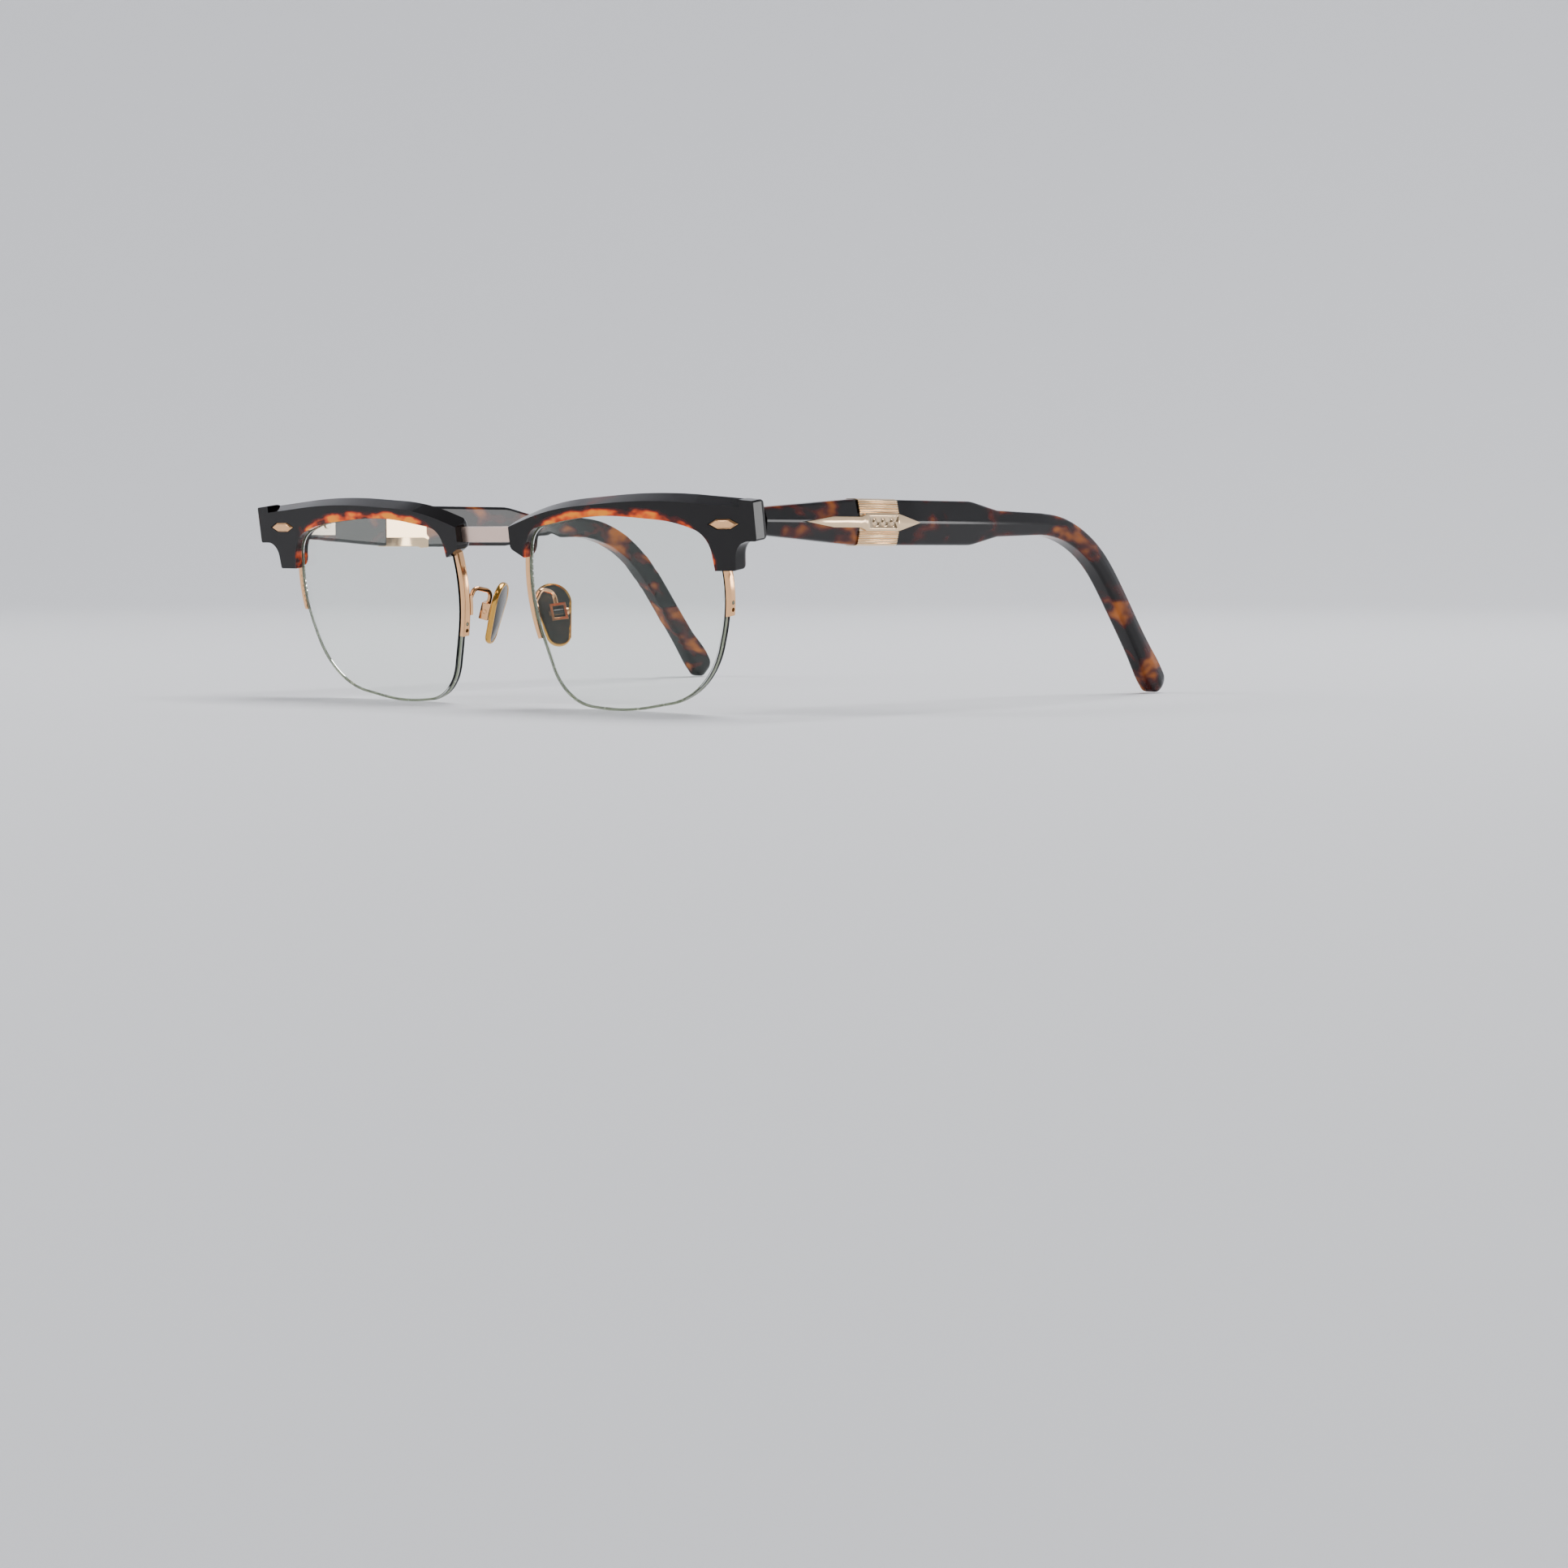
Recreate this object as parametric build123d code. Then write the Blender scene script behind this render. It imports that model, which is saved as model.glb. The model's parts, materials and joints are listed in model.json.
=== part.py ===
"""Half rim eyeglasses: acetate brow bars on metal half rims, corded lenses, rocking pads, folding temples.

Millimetres and degrees. The front's left side is drawn flat: X across the face from the nose, Y back
from the brow face, Z up the lens. It is then wrapped round the face and tilted. The right side is its
mirror image. Temples, cuffs, plaques and hinge barrels are drawn upright, because the temples run level.
"""

import os
from math import cos, hypot, radians, sin, tan

from build123d import *

# Front
lens_width = 50.0
lens_height = 38.6
bridge_gap = 20.0  # between the two lens boxes
front_tilt = 8.2  # the lens bottoms sit further back than the brows
face_wrap = 2.0  # each half of the front turns back towards its temple
lens_thickness = 2.0
lens_setback = 1.6  # from the brow face to the lens face
groove_depth = 0.55
groove_width = 0.7
cord_diameter = 0.6
cord_proud = 0.1

# Brow bars
brow_depth = 4.4
brow_over_lens = 0.3
brow_nose_reach = 2.5  # past the lens box, towards the nose
brow_end_reach = 10.1  # past the lens box, towards the temple
brow_bevel_rise = 1.4
brow_edge_radius = 0.4
crest_start_drop = 2.0  # below the lens top, at the nose end
crest_inner_run = 11.0  # from the nose end to the first bend of the crest
crest_inner_rise = 1.4
crest_outer_run = 15.0  # from the second bend to the lens box's outer side
crest_outer_rise = 3.0
crest_end_rise = 0.8
crest_bends = (60.0, 150.0)
block_length = 3.4
block_drop = 5.3  # from the lens top down to the block's underside
block_corner_radius = 2.0
lug_width = 4.4
lug_drop = 10.8
lug_flare = 0.6
lug_sweep_radius = 3.2
nose_end_radius = 1.6
nose_end_drop = 6.3
nose_foot_drop = 8.1
nose_foot_inset = 0.9
nose_foot_radius = 0.6
nose_side_radius = 1.2

# Half rims
rim_wall = 1.3
rim_depth = 1.8
rim_fit = 0.06
rim_seat_clearance = 0.05
rim_edge_radius = 0.4
nose_arm_end = 14.0  # height above the lens bottom
side_arm_end = 18.9
cord_hole_diameter = 0.8
cord_hole_pitch = 1.35
cord_hole_margin = 1.2
cord_hole_reach = 1.7  # of a hole's bore past the rim wall

# Bridge
bridge_height = 2.95
bridge_thickness = 1.35
bridge_drop = 3.7  # from the lens top down to the bridge centre
bridge_setback = 3.0
bridge_bow = 0.7
bridge_root = 4.0  # past the side of the lens box, before its ends are shaped

# Front pins and brow screws
pin_length = 7.2
pin_height = 1.9
pin_shoulder = 3.2
pin_recess = 0.35
pin_proud = 0.3
pin_from_lens = 2.5
pin_drop = 2.0
pin_shank_radius = 0.55
pin_shank_pitch = 2.6
pin_clearance = 0.12
screw_clearance = 0.05
brow_screw_radius = 0.45
brow_screw_depth = 1.1
brow_screw_head_radius = 0.8
brow_screw_head = 0.4
brow_screw_shares = (0.3, 0.48)  # along the two top corner sides of the lens outline
slot_width = 0.2
slot_depth = 0.2

# Nose pads
pad_top_radius = 3.9
pad_bottom_radius = 2.6
pad_centres_apart = 6.6
pad_centres_drop = 0.6
pad_bezel_wall = 0.6
pad_bezel_depth = 1.3
pad_thickness = 1.0
pad_apart = 18.4  # between the two pad centres
pad_setback = 10.0
pad_centre_height = 17.6
pad_splay = 30.0
pad_frontal = 20.0
pad_stand_off = 2.1  # from the pad's middle to its screw
box_width = 3.3
box_height = 3.4
box_depth = 1.9
box_wall = 0.5
pad_lug_clearance = 0.1
pad_lug_half = 0.85
pad_screw_radius = 0.4
pad_screw_head_radius = 0.75
pad_screw_head = 0.5
pad_wire_diameter = 0.95
pad_wire_radius = 1.5
pad_foot_length = 4.0
pad_foot_depth = 0.7
pad_foot_top = 22.2
pad_foot_margin = 0.15  # inside the rim's wall on both sides
pad_wire_rise = 1.3
pad_wire_side = 0.2
pad_wire_back = 2.2
pad_wire_end = 2.4

# Hinges
hinge_barrel_radius = 1.3
hinge_knuckles = 5
hinge_knuckle_height = 1.0
hinge_knuckle_gap = 0.06
hinge_screw_radius = 0.6
hinge_screw_head_radius = 1.0
hinge_screw_head = 0.5
hinge_screw_fit = 0.05
hinge_screw_tail = 0.2
hinge_plate = 0.8
hinge_plate_half_height = 2.2
hinge_plate_inset = 0.3
hinge_web_root = 1.0
hinge_gap = 0.25
hinge_inset = 1.7  # from the temple's inner face to the hinge axis
temple_leaf_length = 9.0
temple_leaf_plate = 0.6
temple_leaf_height = 4.2
temple_arm_gap = 0.2
temple_arm_reach = 0.9  # past the hinge axis
temple_arm_root = 0.5
leaf_rivet_radius = 0.45
leaf_rivet_head_radius = 0.75
leaf_rivet_head = 0.3
leaf_rivet_length = 1.6
leaf_rivet_shares = (0.3, 0.75)

# Temples
temple_drop = 1.5  # from the lens top down to the middle of the temple
temple_inset = 0.8
temple_thickness = 4.2
temple_ridge = 1.0
temple_edge_radius = 0.6
temple_butt_gap = 0.25
temple_front_height = 5.1
temple_broad_height = 8.9
temple_slim_height = 5.4
temple_bend_height = 4.6
temple_tip_height = 5.2
temple_end_height = 3.0
broad_start = 27.0  # distances along the temple from its butt face
broad_end = 64.5
slim_start = 73.0
bend_start = 88.0
bend_radius = 34.0
bend_angle = 50.0
tip_shares = (0.35, 0.7, 0.93)  # along the tip: still slim, swollen, swollen
core_width = 1.8
core_thickness = 0.9
core_start = 16.0
core_end_margin = 6.0

# Cuffs and plaques
cuff_start = 27.8
cuff_length = 12.1
cuff_wall = 0.32
cuff_fit = 0.03
flute_count = 5
flute_margin = 0.5  # from the edge of the plate
flute_width = 0.16
flute_depth = 0.12
plaque_start = 11.0
plaque_length = 34.8
plaque_shoulder = 8.0
plaque_bar = 16.4
plaque_step = 1.5
plaque_point = 6.8
plaque_edge = 0.15
plaque_narrow = 2.1
plaque_wide = 3.3
plaque_seat = 0.55
plaque_proud = 0.6
plaque_fit = 0.04
ring_radius = 0.85
ring_line = 0.16
ring_depth = 0.1
ring_pitch = 2.7

# Lens outline: across from its nose side, up from its bottom, corner radius, as shares of the lens box
LENS_CORNERS = (
    (-0.016, 0.609, 0.88),
    (0.046, 0.943, 0.13),
    (0.410, 1.016, 1.80),
    (0.800, 0.974, 0.95),
    (0.978, 0.902, 0.16),
    (1.008, 0.557, 0.75),
    (0.874, 0.083, 0.46),
    (0.430, -0.008, 1.30),
    (0.120, 0.031, 0.28),
)

lens_middle = lens_setback + lens_thickness / 2
lens_nose_side = bridge_gap / 2
lens_side = lens_nose_side + lens_width
rim_front = lens_middle - rim_depth / 2
rim_back = rim_front + rim_depth
arc_share = 0.97  # of a side that its two arcs may take up
far = 60.0  # reach of a cutter that has to clear everything


def place_front(shape):
    """Moves a piece of the flat left front to where the wrapped and tilted front has it."""
    return Rot(front_tilt, 0, 0) * (Rot(0, 0, face_wrap) * shape)


def grown(corners, amount):
    """Corners of a clockwise polygon with every side moved out by amount."""
    moved = []
    count = len(corners)
    for i, (x, z) in enumerate(corners):
        before, after = corners[i - 1], corners[(i + 1) % count]
        first = hypot(x - before[0], z - before[1])
        second = hypot(after[0] - x, after[1] - z)
        out = ((before[1] - z) / first, (x - before[0]) / first)
        out_next = ((z - after[1]) / second, (after[0] - x) / second)
        share = amount / (1 + out[0] * out_next[0] + out[1] * out_next[1])
        moved.append((x + share * (out[0] + out_next[0]), z + share * (out[1] + out_next[1])))
    return moved


def lens_corners(grow):
    """Corners of the lens outline, grown by a margin."""
    flat = [(lens_nose_side + x * lens_width, z * lens_height) for x, z, _ in LENS_CORNERS]
    return grown(flat, grow)


def arc_reach(corners, i, radius):
    """How far from its corner an arc of that radius touches the two sides."""
    corner = Vector(*corners[i])
    first = corner - Vector(*corners[i - 1])
    second = Vector(*corners[(i + 1) % len(corners)]) - corner
    return radius * tan(radians(first.get_angle(second)) / 2)


def fitted_radii(corners, radii):
    """The radii, made smaller where two arcs would otherwise meet on the side between them."""
    reaches = [arc_reach(corners, i, radius) for i, radius in enumerate(radii)]
    count = len(corners)
    shares = []
    for i in range(count):
        run = hypot(corners[i][0] - corners[i - 1][0], corners[i][1] - corners[i - 1][1])
        shares.append(min(1, arc_share * run / (reaches[i] + reaches[i - 1])))
    return [radius * min(shares[i], shares[(i + 1) % count]) for i, radius in enumerate(radii)]


def lens_outline(grow):
    """The closed lens outline, grown by a margin: straight sides joined by arcs."""
    flat = lens_corners(0)
    radii = fitted_radii(flat, [share * lens_height for _, _, share in LENS_CORNERS])
    return FilletPolyline(*lens_corners(grow), radius=[radius + grow for radius in radii], close=True)


def slab(outline, front, back):
    """A solid with the outline's face, drawn across and up, from one depth to another."""
    plane = Plane(origin=(0, front, 0), x_dir=(1, 0, 0), z_dir=(0, -1, 0))
    return extrude(plane * make_face(outline), back - front, dir=(0, 1, 0))


def lens_slab(grow, front, back):
    """The lens outline, grown, as a solid between two depths."""
    return slab(lens_outline(grow), front, back)


def lens_band(inner, outer, front, back):
    """A ring between two sizes of the lens outline."""
    return lens_slab(outer, front, back) - lens_slab(inner, front, back)


def above_line(nose_height, side_height, front=-far, back=far):
    """Everything above the line from one height at the nose side of the lens to another at its far side."""
    corners = ((lens_nose_side, nose_height), (lens_side, side_height))
    slope = (side_height - nose_height) / lens_width
    left = (lens_nose_side - far, corners[0][1] - far * slope)
    right = (lens_side + far, corners[1][1] + far * slope)
    return slab(Polyline(left, (left[0], far * 2), (right[0], far * 2), right, close=True), front, back)


def cord_hole_heights(arm_end):
    """Heights of the two cord holes near the end of a rim arm."""
    first = arm_end + cord_hole_margin
    return first, first + cord_hole_pitch


def rod(start, end, radius):
    """A round bar between two points."""
    start, end = Vector(*start), Vector(*end)
    return extrude(Plane(origin=start, z_dir=end - start) * Circle(radius), (end - start).length)


def cord_ends():
    """Heights at which the cord leaves through the nose arm and through the side arm."""
    return cord_hole_heights(nose_arm_end)[1], cord_hole_heights(side_arm_end)[1]


def cord_hole_rod(side, height, radius):
    """A short bar straight through a rim arm."""
    edge = lens_nose_side if side < 0 else lens_side
    reach = rim_wall + cord_hole_reach
    return rod((edge - reach, lens_middle, height), (edge + reach, lens_middle, height), radius)


def make_lens():
    """Flat lens blank with a groove round its edge."""
    groove = lens_band(-groove_depth, 1, lens_middle - groove_width / 2, lens_middle + groove_width / 2)
    return lens_slab(0, lens_setback, lens_setback + lens_thickness) - groove


def swept_round(section, grow):
    """A section, drawn across its wall and along the lens's depth, carried round the lens outline."""
    path = Plane(origin=(0, lens_middle, 0), x_dir=(1, 0, 0), z_dir=(0, -1, 0)) * lens_outline(grow)
    across = (path % 0).cross(Vector(0, 1, 0))
    return sweep(Plane(origin=path @ 0, x_dir=across, z_dir=path % 0) * section, path=path)


def make_cord():
    """Nylon cord: under the lens in its groove, up inside both rim arms and out through their upper holes."""
    radius = cord_diameter / 2
    cord = swept_round(Circle(radius), cord_proud - radius)
    nose_hole, side_hole = cord_ends()
    cord -= above_line(nose_hole + radius, side_hole + radius)
    wall = lens_band(cord_proud - radius, rim_fit + rim_wall, -far, far)
    for side, height in ((-1, nose_hole), (1, side_hole)):
        cord += cord_hole_rod(side, height, radius) & wall
    return cord


def make_liner():
    """Nylon bead between the rim's channel and the lens groove, from one cord end to the other."""
    half = cord_diameter / 2
    inner, outer = cord_proud - cord_diameter, cord_proud + rim_fit
    liner = lens_band(inner, outer, lens_middle - half, lens_middle + half)
    nose_hole, side_hole = cord_ends()
    clear = half + rim_seat_clearance
    return liner & above_line(nose_hole + clear, side_hole + clear)


def make_rim():
    """Metal half rim: over the top of the lens and down both sides, with two cord holes in each arm."""
    rim = swept_round(RectangleRounded(rim_wall, rim_depth, rim_edge_radius), rim_fit + rim_wall / 2)
    channel = cord_proud + rim_fit * 2
    rim -= lens_slab(channel, lens_middle - groove_width / 2, lens_middle + groove_width / 2)
    rim &= above_line(nose_arm_end, side_arm_end)
    for side, arm_end in ((-1, nose_arm_end), (1, side_arm_end)):
        for height in cord_hole_heights(arm_end):
            rim -= cord_hole_rod(side, height, cord_hole_diameter / 2)
    for x, z in brow_screw_places():
        rim -= rod((x, rim_back - brow_screw_depth, z), (x, far, z), brow_screw_radius)
    return rim


def brow_screw_places():
    """Middle of the rim's wall near its two top corners."""
    corners = lens_corners(rim_fit + rim_wall / 2)
    places = []
    for first, share in zip((1, 3), brow_screw_shares):
        start, end = corners[first], corners[first + 1]
        places.append((start[0] + share * (end[0] - start[0]), start[1] + share * (end[1] - start[1])))
    return places


def brow_crest(rise):
    """Corners of the brow's top line, from its nose end to its outer end."""
    nose = lens_nose_side - brow_nose_reach
    base = lens_height + rise
    return [
        (nose, base - crest_start_drop),
        (nose + crest_inner_run, base + crest_inner_rise),
        (lens_side - crest_outer_run, base + crest_outer_rise),
        (lens_side + brow_end_reach, base + crest_end_rise),
    ]


def brow_outline():
    """Face of the brow bar: crest, block, lug, and the foot at its nose end."""
    nose = lens_nose_side - brow_nose_reach
    block_bottom = lens_height - block_drop
    lug_outer = lens_side + lug_width
    lug_bottom = lens_height - lug_drop
    foot = lens_height - nose_foot_drop
    points = brow_crest(brow_bevel_rise) + [
        (lens_side + brow_end_reach, block_bottom),
        (lug_outer + lug_flare, block_bottom),
        (lug_outer, lug_bottom),
        (lens_side - lug_width, lug_bottom),
        (lens_nose_side + lug_width, foot),
        (lens_nose_side + nose_foot_inset, foot),
        (nose, lens_height - nose_end_drop),
    ]
    edge = brow_edge_radius
    radii = [nose_end_radius, *crest_bends, edge, edge, lug_sweep_radius, edge, 0, 0]
    radii += [nose_foot_radius, nose_side_radius]
    return FilletPolyline(*points, radius=radii, close=True)


def make_brow():
    """Acetate brow bar with a bevelled top, a block at its outer end and a lug down beside the lens."""
    brow = slab(brow_outline(), 0, brow_depth)
    front_corner = brow.edges().filter_by(Axis.Z).sort_by(Axis.X)[-1:]
    brow = fillet(front_corner.sort_by(Axis.Y)[:1], block_corner_radius)
    brow -= brow_bevel()
    brow -= lens_slab(-brow_over_lens, -far, far)
    seat = rim_fit + rim_wall + rim_seat_clearance
    brow -= lens_slab(seat, rim_front - rim_seat_clearance, rim_back + rim_seat_clearance)
    lens_back = lens_setback + lens_thickness
    brow -= lens_slab(rim_seat_clearance, lens_setback - rim_seat_clearance, lens_back + rim_seat_clearance)
    brow -= Rot(0, 0, -face_wrap) * bridge_bar(screw_clearance)
    for x, z in brow_screw_places():
        brow -= rod((x, lens_middle, z), (x, far, z), brow_screw_radius + screw_clearance)
        head = brow_screw_head_radius + screw_clearance
        brow -= rod((x, brow_depth - brow_screw_head, z), (x, far, z), head)
    brow -= pin_solid(pin_clearance, far)
    return brow


def pin_solid(clearance, proud):
    """Pointed pin head in its recess and two shanks to the back of the hinge leaf."""
    middle = Vector(lens_side + pin_from_lens, 0, lens_height - pin_drop)
    corners = [(-pin_length / 2, 0), (-pin_shoulder / 2, pin_height / 2), (pin_shoulder / 2, pin_height / 2)]
    corners += [(-x, -z) for x, z in corners]
    outline = Polyline(*grown(corners, clearance), close=True)
    base = slab(outline, 0, pin_recess)
    face = Plane(origin=(0, 0, 0), x_dir=(1, 0, 0), z_dir=(0, -1, 0)) * make_face(outline)
    if clearance:
        pin = base + extrude(face, proud)
    else:
        pin = base + extrude(face, proud, taper=45)
    for x in (-pin_shank_pitch / 2, pin_shank_pitch / 2):
        pin += rod((x, 0, 0), (x, brow_depth + hinge_plate, 0), pin_shank_radius + clearance / 4)
    return Pos(middle) * pin


def make_brow_screws():
    """Two slotted screws through the brow's back wall into the rim."""
    screws = []
    head_start = brow_depth - brow_screw_head
    for x, z in brow_screw_places():
        screw = rod((x, rim_back - brow_screw_depth, z), (x, head_start, z), brow_screw_radius)
        screw += rod((x, head_start, z), (x, brow_depth, z), brow_screw_head_radius)
        slot = Box(slot_width, slot_depth, far, align=(Align.CENTER, Align.MAX, Align.CENTER))
        screws.append(screw - Pos(x, brow_depth, z) * slot)
    return screws


def bridge_bar(extra):
    """Bowed flat bar from brow to brow, grown by a clearance, before its ends are shaped."""
    end = lens_nose_side + bridge_root
    front = bridge_setback - bridge_thickness / 2 - extra
    back = bridge_setback + bridge_thickness / 2 + extra
    low = lens_height - bridge_drop - bridge_height / 2 - extra
    face = make_face(
        ThreePointArc((-end, front), (0, front - bridge_bow), (end, front))
        + Line((end, front), (end, back))
        + ThreePointArc((end, back), (0, back - bridge_bow), (-end, back))
        + Line((-end, back), (-end, front))
    )
    return Pos(0, 0, low) * extrude(face, bridge_height + 2 * extra)


def make_bridge():
    """Bridge bar with ends shaped to the outside of both rims, in its tilted place."""
    end_cut = Rot(0, 0, face_wrap) * lens_slab(rim_fit + rim_wall, -far, far)
    bridge = bridge_bar(0) - end_cut - mirror(end_cut, about=Plane.YZ)
    return Rot(front_tilt, 0, 0) * bridge


def brow_bevel():
    """What the sloping top bevel takes off, up to the block."""
    crest = brow_crest(0)
    overrun = 5.0
    end = lens_side + brow_end_reach - block_length
    first_slope = (crest[1][1] - crest[0][1]) / (crest[1][0] - crest[0][0])
    last_slope = (crest[3][1] - crest[2][1]) / (crest[3][0] - crest[2][0])
    start = (crest[0][0] - overrun, crest[0][1] - overrun * first_slope)
    stop = (end, crest[3][1] - last_slope * (crest[3][0] - end))
    points = (start, crest[1], crest[2], stop, (end, far * 2), (start[0], far * 2))
    line = FilletPolyline(*points, radius=[0, *crest_bends, 0, 0, 0], close=True)
    rise = brow_bevel_rise / brow_depth
    plane = Plane(origin=(0, -overrun, -overrun * rise), x_dir=(1, 0, 0), z_dir=(0, -1, 0))
    length = (brow_depth + 2 * overrun) * hypot(1, rise)
    return extrude(plane * make_face(line), length, dir=Vector(0, 1, rise).normalized())


def pad_plane(height=0.0):
    """The left pad's plane, a height above its middle: X back across it, Y up its length, Z off the nose."""
    out = Vector(cos(radians(pad_splay)), -sin(radians(pad_splay)), 0)
    back = Vector(sin(radians(pad_splay)), cos(radians(pad_splay)), 0)
    away = out * cos(radians(pad_frontal)) + Vector(0, 0, sin(radians(pad_frontal)))
    middle = Vector(pad_apart / 2, pad_setback, pad_centre_height)
    return Plane(origin=middle + away * height, x_dir=back, z_dir=away)


def pad_outline(grow):
    """Egg shape of a pad: a large circle above, a small one below, and their tangents."""
    top = Pos(0, pad_centres_apart / 2 - pad_centres_drop) * Circle(pad_top_radius + grow)
    bottom = Pos(0, -pad_centres_apart / 2 - pad_centres_drop) * Circle(pad_bottom_radius + grow)
    return make_hull(top.edges() + bottom.edges())


def pad_part(sketch, low, high):
    """A solid on the pad's plane between two heights."""
    return extrude(pad_plane(low) * sketch, high - low)


def pad_rod(radius, start, end):
    """A bar along the pad's screw axis."""
    plane = pad_plane(pad_stand_off)
    return rod(plane.origin + plane.x_dir * start, plane.origin + plane.x_dir * end, radius)


def make_pad_bezel():
    """Metal ring round the pad."""
    ring = pad_outline(0) - pad_outline(-pad_bezel_wall)
    return pad_part(ring, -pad_bezel_depth / 2, pad_bezel_depth / 2)


def make_pad():
    """Pad plate with the lug that turns on the pad screw."""
    pad = pad_part(pad_outline(-pad_bezel_wall), -pad_thickness / 2, pad_thickness / 2)
    lug_width = box_width - 2 * box_wall - 2 * pad_lug_clearance
    lug = Rectangle(lug_width, 2 * pad_lug_half)
    pad += pad_part(lug, 0, pad_stand_off)
    pad += pad_rod(pad_lug_half, -lug_width / 2, lug_width / 2)
    return pad - pad_rod(pad_screw_radius + screw_clearance, -far, far)


def make_pad_box():
    """Open square box that holds the pad's lug."""
    hollow = Rectangle(box_width - 2 * box_wall, box_height - 2 * box_wall)
    frame = Rectangle(box_width, box_height) - hollow
    box = pad_part(frame, pad_stand_off - box_depth / 2, pad_stand_off + box_depth / 2)
    return box - pad_rod(pad_screw_radius, -far, far)


def make_pad_screw():
    """Slotted screw along the pad's width, through the box and the lug."""
    end = box_width / 2
    screw = pad_rod(pad_screw_radius, -end, end) + pad_rod(pad_screw_head_radius, end, end + pad_screw_head)
    plane = pad_plane(pad_stand_off)
    head_top = plane.origin + plane.x_dir * (end + pad_screw_head)
    slot_plane = Plane(origin=head_top, x_dir=plane.z_dir, z_dir=plane.x_dir)
    slot = extrude(slot_plane * Rectangle(far, slot_width), -slot_depth)
    return screw - slot


def make_pad_arm():
    """Foot along the back of the rim's nose arm, and a wire that arches from it down to the pad box."""
    inner, outer = rim_fit + pad_foot_margin, rim_fit + rim_wall - pad_foot_margin
    foot = lens_band(inner, outer, rim_back, rim_back + pad_foot_depth)
    height = pad_foot_top - pad_foot_length / 2
    foot &= Pos(lens_nose_side, lens_middle, height) * Box(lens_width / 2, far, pad_foot_length)
    top = foot.bounding_box()
    plane = pad_plane(pad_stand_off)
    box_top = plane.origin + plane.y_dir * (box_height / 2)
    x = top.min.X + rim_wall / 2
    start = Vector(x, rim_back + pad_foot_depth / 2, pad_foot_top - pad_wire_diameter)
    arch = Vector(x + pad_wire_side, rim_back + pad_wire_back, pad_foot_top + pad_wire_rise)
    elbow = box_top + plane.y_dir * pad_wire_end
    path = FilletPolyline(start, arch, elbow, box_top, radius=[pad_wire_radius, pad_wire_radius])
    wire = sweep(Plane(origin=path @ 0, z_dir=path % 0) * Circle(pad_wire_diameter / 2), path=path)
    return foot + wire


temple_line = lens_height - temple_drop
block_back = place_front(Vertex(lens_side + brow_end_reach, brow_depth, temple_line)).center()
temple_start = block_back.Y + temple_butt_gap
temple_outer = block_back.X - temple_inset
temple_inner = temple_outer - temple_thickness
axis_x = temple_inner - hinge_inset
axis_y = block_back.Y + hinge_plate + hinge_barrel_radius + hinge_gap
leaf_start = axis_y + hinge_barrel_radius + hinge_gap
bend_y = temple_start + bend_start


def make_front_leaf():
    """Hinge plate behind the brow's block with the outer and middle knuckles."""
    left = lens_side - hinge_plate_inset
    right = axis_x + hinge_barrel_radius
    low = lens_height - pin_drop - hinge_plate_half_height
    high = lens_height - pin_drop + hinge_plate_half_height
    outline = Polyline((left, low), (left, high), (right, high), (right, low), close=True)
    leaf = place_front(slab(outline, brow_depth, brow_depth + hinge_plate))
    web_start = block_back.Y - hinge_web_root
    for middle_z in knuckle_heights()[0::2]:
        leaf += knuckle(middle_z)
        web = Box(2 * hinge_barrel_radius, axis_y - web_start, knuckle_length())
        leaf += Pos(axis_x, (axis_y + web_start) / 2, middle_z) * web
    leaf -= place_front(front_zone(brow_depth) + pin_solid(0, pin_proud))
    return leaf - barrel_bar(hinge_screw_radius)


def front_zone(depth):
    """Everything in front of a depth in the flat front."""
    return Pos(0, depth, 0) * Box(4 * far, far, 4 * far, align=(Align.CENTER, Align.MAX, Align.CENTER))


def knuckle_heights():
    """Heights of the middles of the hinge knuckles, from the lowest up."""
    lowest = temple_line - (hinge_knuckles - 1) / 2 * hinge_knuckle_height
    return [lowest + i * hinge_knuckle_height for i in range(hinge_knuckles)]


def knuckle_length():
    """Height of one knuckle, less its gap."""
    return hinge_knuckle_height - hinge_knuckle_gap


def knuckle(middle_z):
    """One knuckle on the hinge axis."""
    return Pos(axis_x, axis_y, middle_z) * Cylinder(hinge_barrel_radius, knuckle_length())


def barrel_bar(radius):
    """A tall bar on the hinge axis."""
    return Pos(axis_x, axis_y, temple_line) * Cylinder(radius, far)


def make_temple_leaf():
    """Hinge plate on the temple's inner face with the two inner knuckles."""
    plate_align = (Align.MAX, Align.MIN, Align.CENTER)
    plate = Box(temple_leaf_plate, temple_leaf_length, temple_leaf_height, align=plate_align)
    leaf = Pos(temple_inner, leaf_start, temple_line) * plate
    arm_start = axis_y - temple_arm_reach
    arm_length = leaf_start + temple_arm_root - arm_start
    for middle_z in knuckle_heights()[1::2]:
        arm = Box(hinge_inset - temple_arm_gap, arm_length, knuckle_length(), align=plate_align)
        leaf += Pos(temple_inner, arm_start, middle_z) * arm
        leaf += knuckle(middle_z)
    leaf -= barrel_bar(hinge_screw_radius + hinge_screw_fit)
    for rivet in make_leaf_rivets():
        leaf -= rivet
    return leaf


def make_leaf_rivets():
    """Two rivets that hold the hinge plate to the temple."""
    rivets = []
    plate_face = temple_inner - temple_leaf_plate
    tail = temple_inner + leaf_rivet_length
    top = plate_face - leaf_rivet_head
    for share in leaf_rivet_shares:
        y = leaf_start + share * temple_leaf_length
        rivet = rod((plate_face, y, temple_line), (tail, y, temple_line), leaf_rivet_radius)
        rivet += rod((top, y, temple_line), (plate_face, y, temple_line), leaf_rivet_head_radius)
        rivets.append(rivet)
    return rivets


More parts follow.
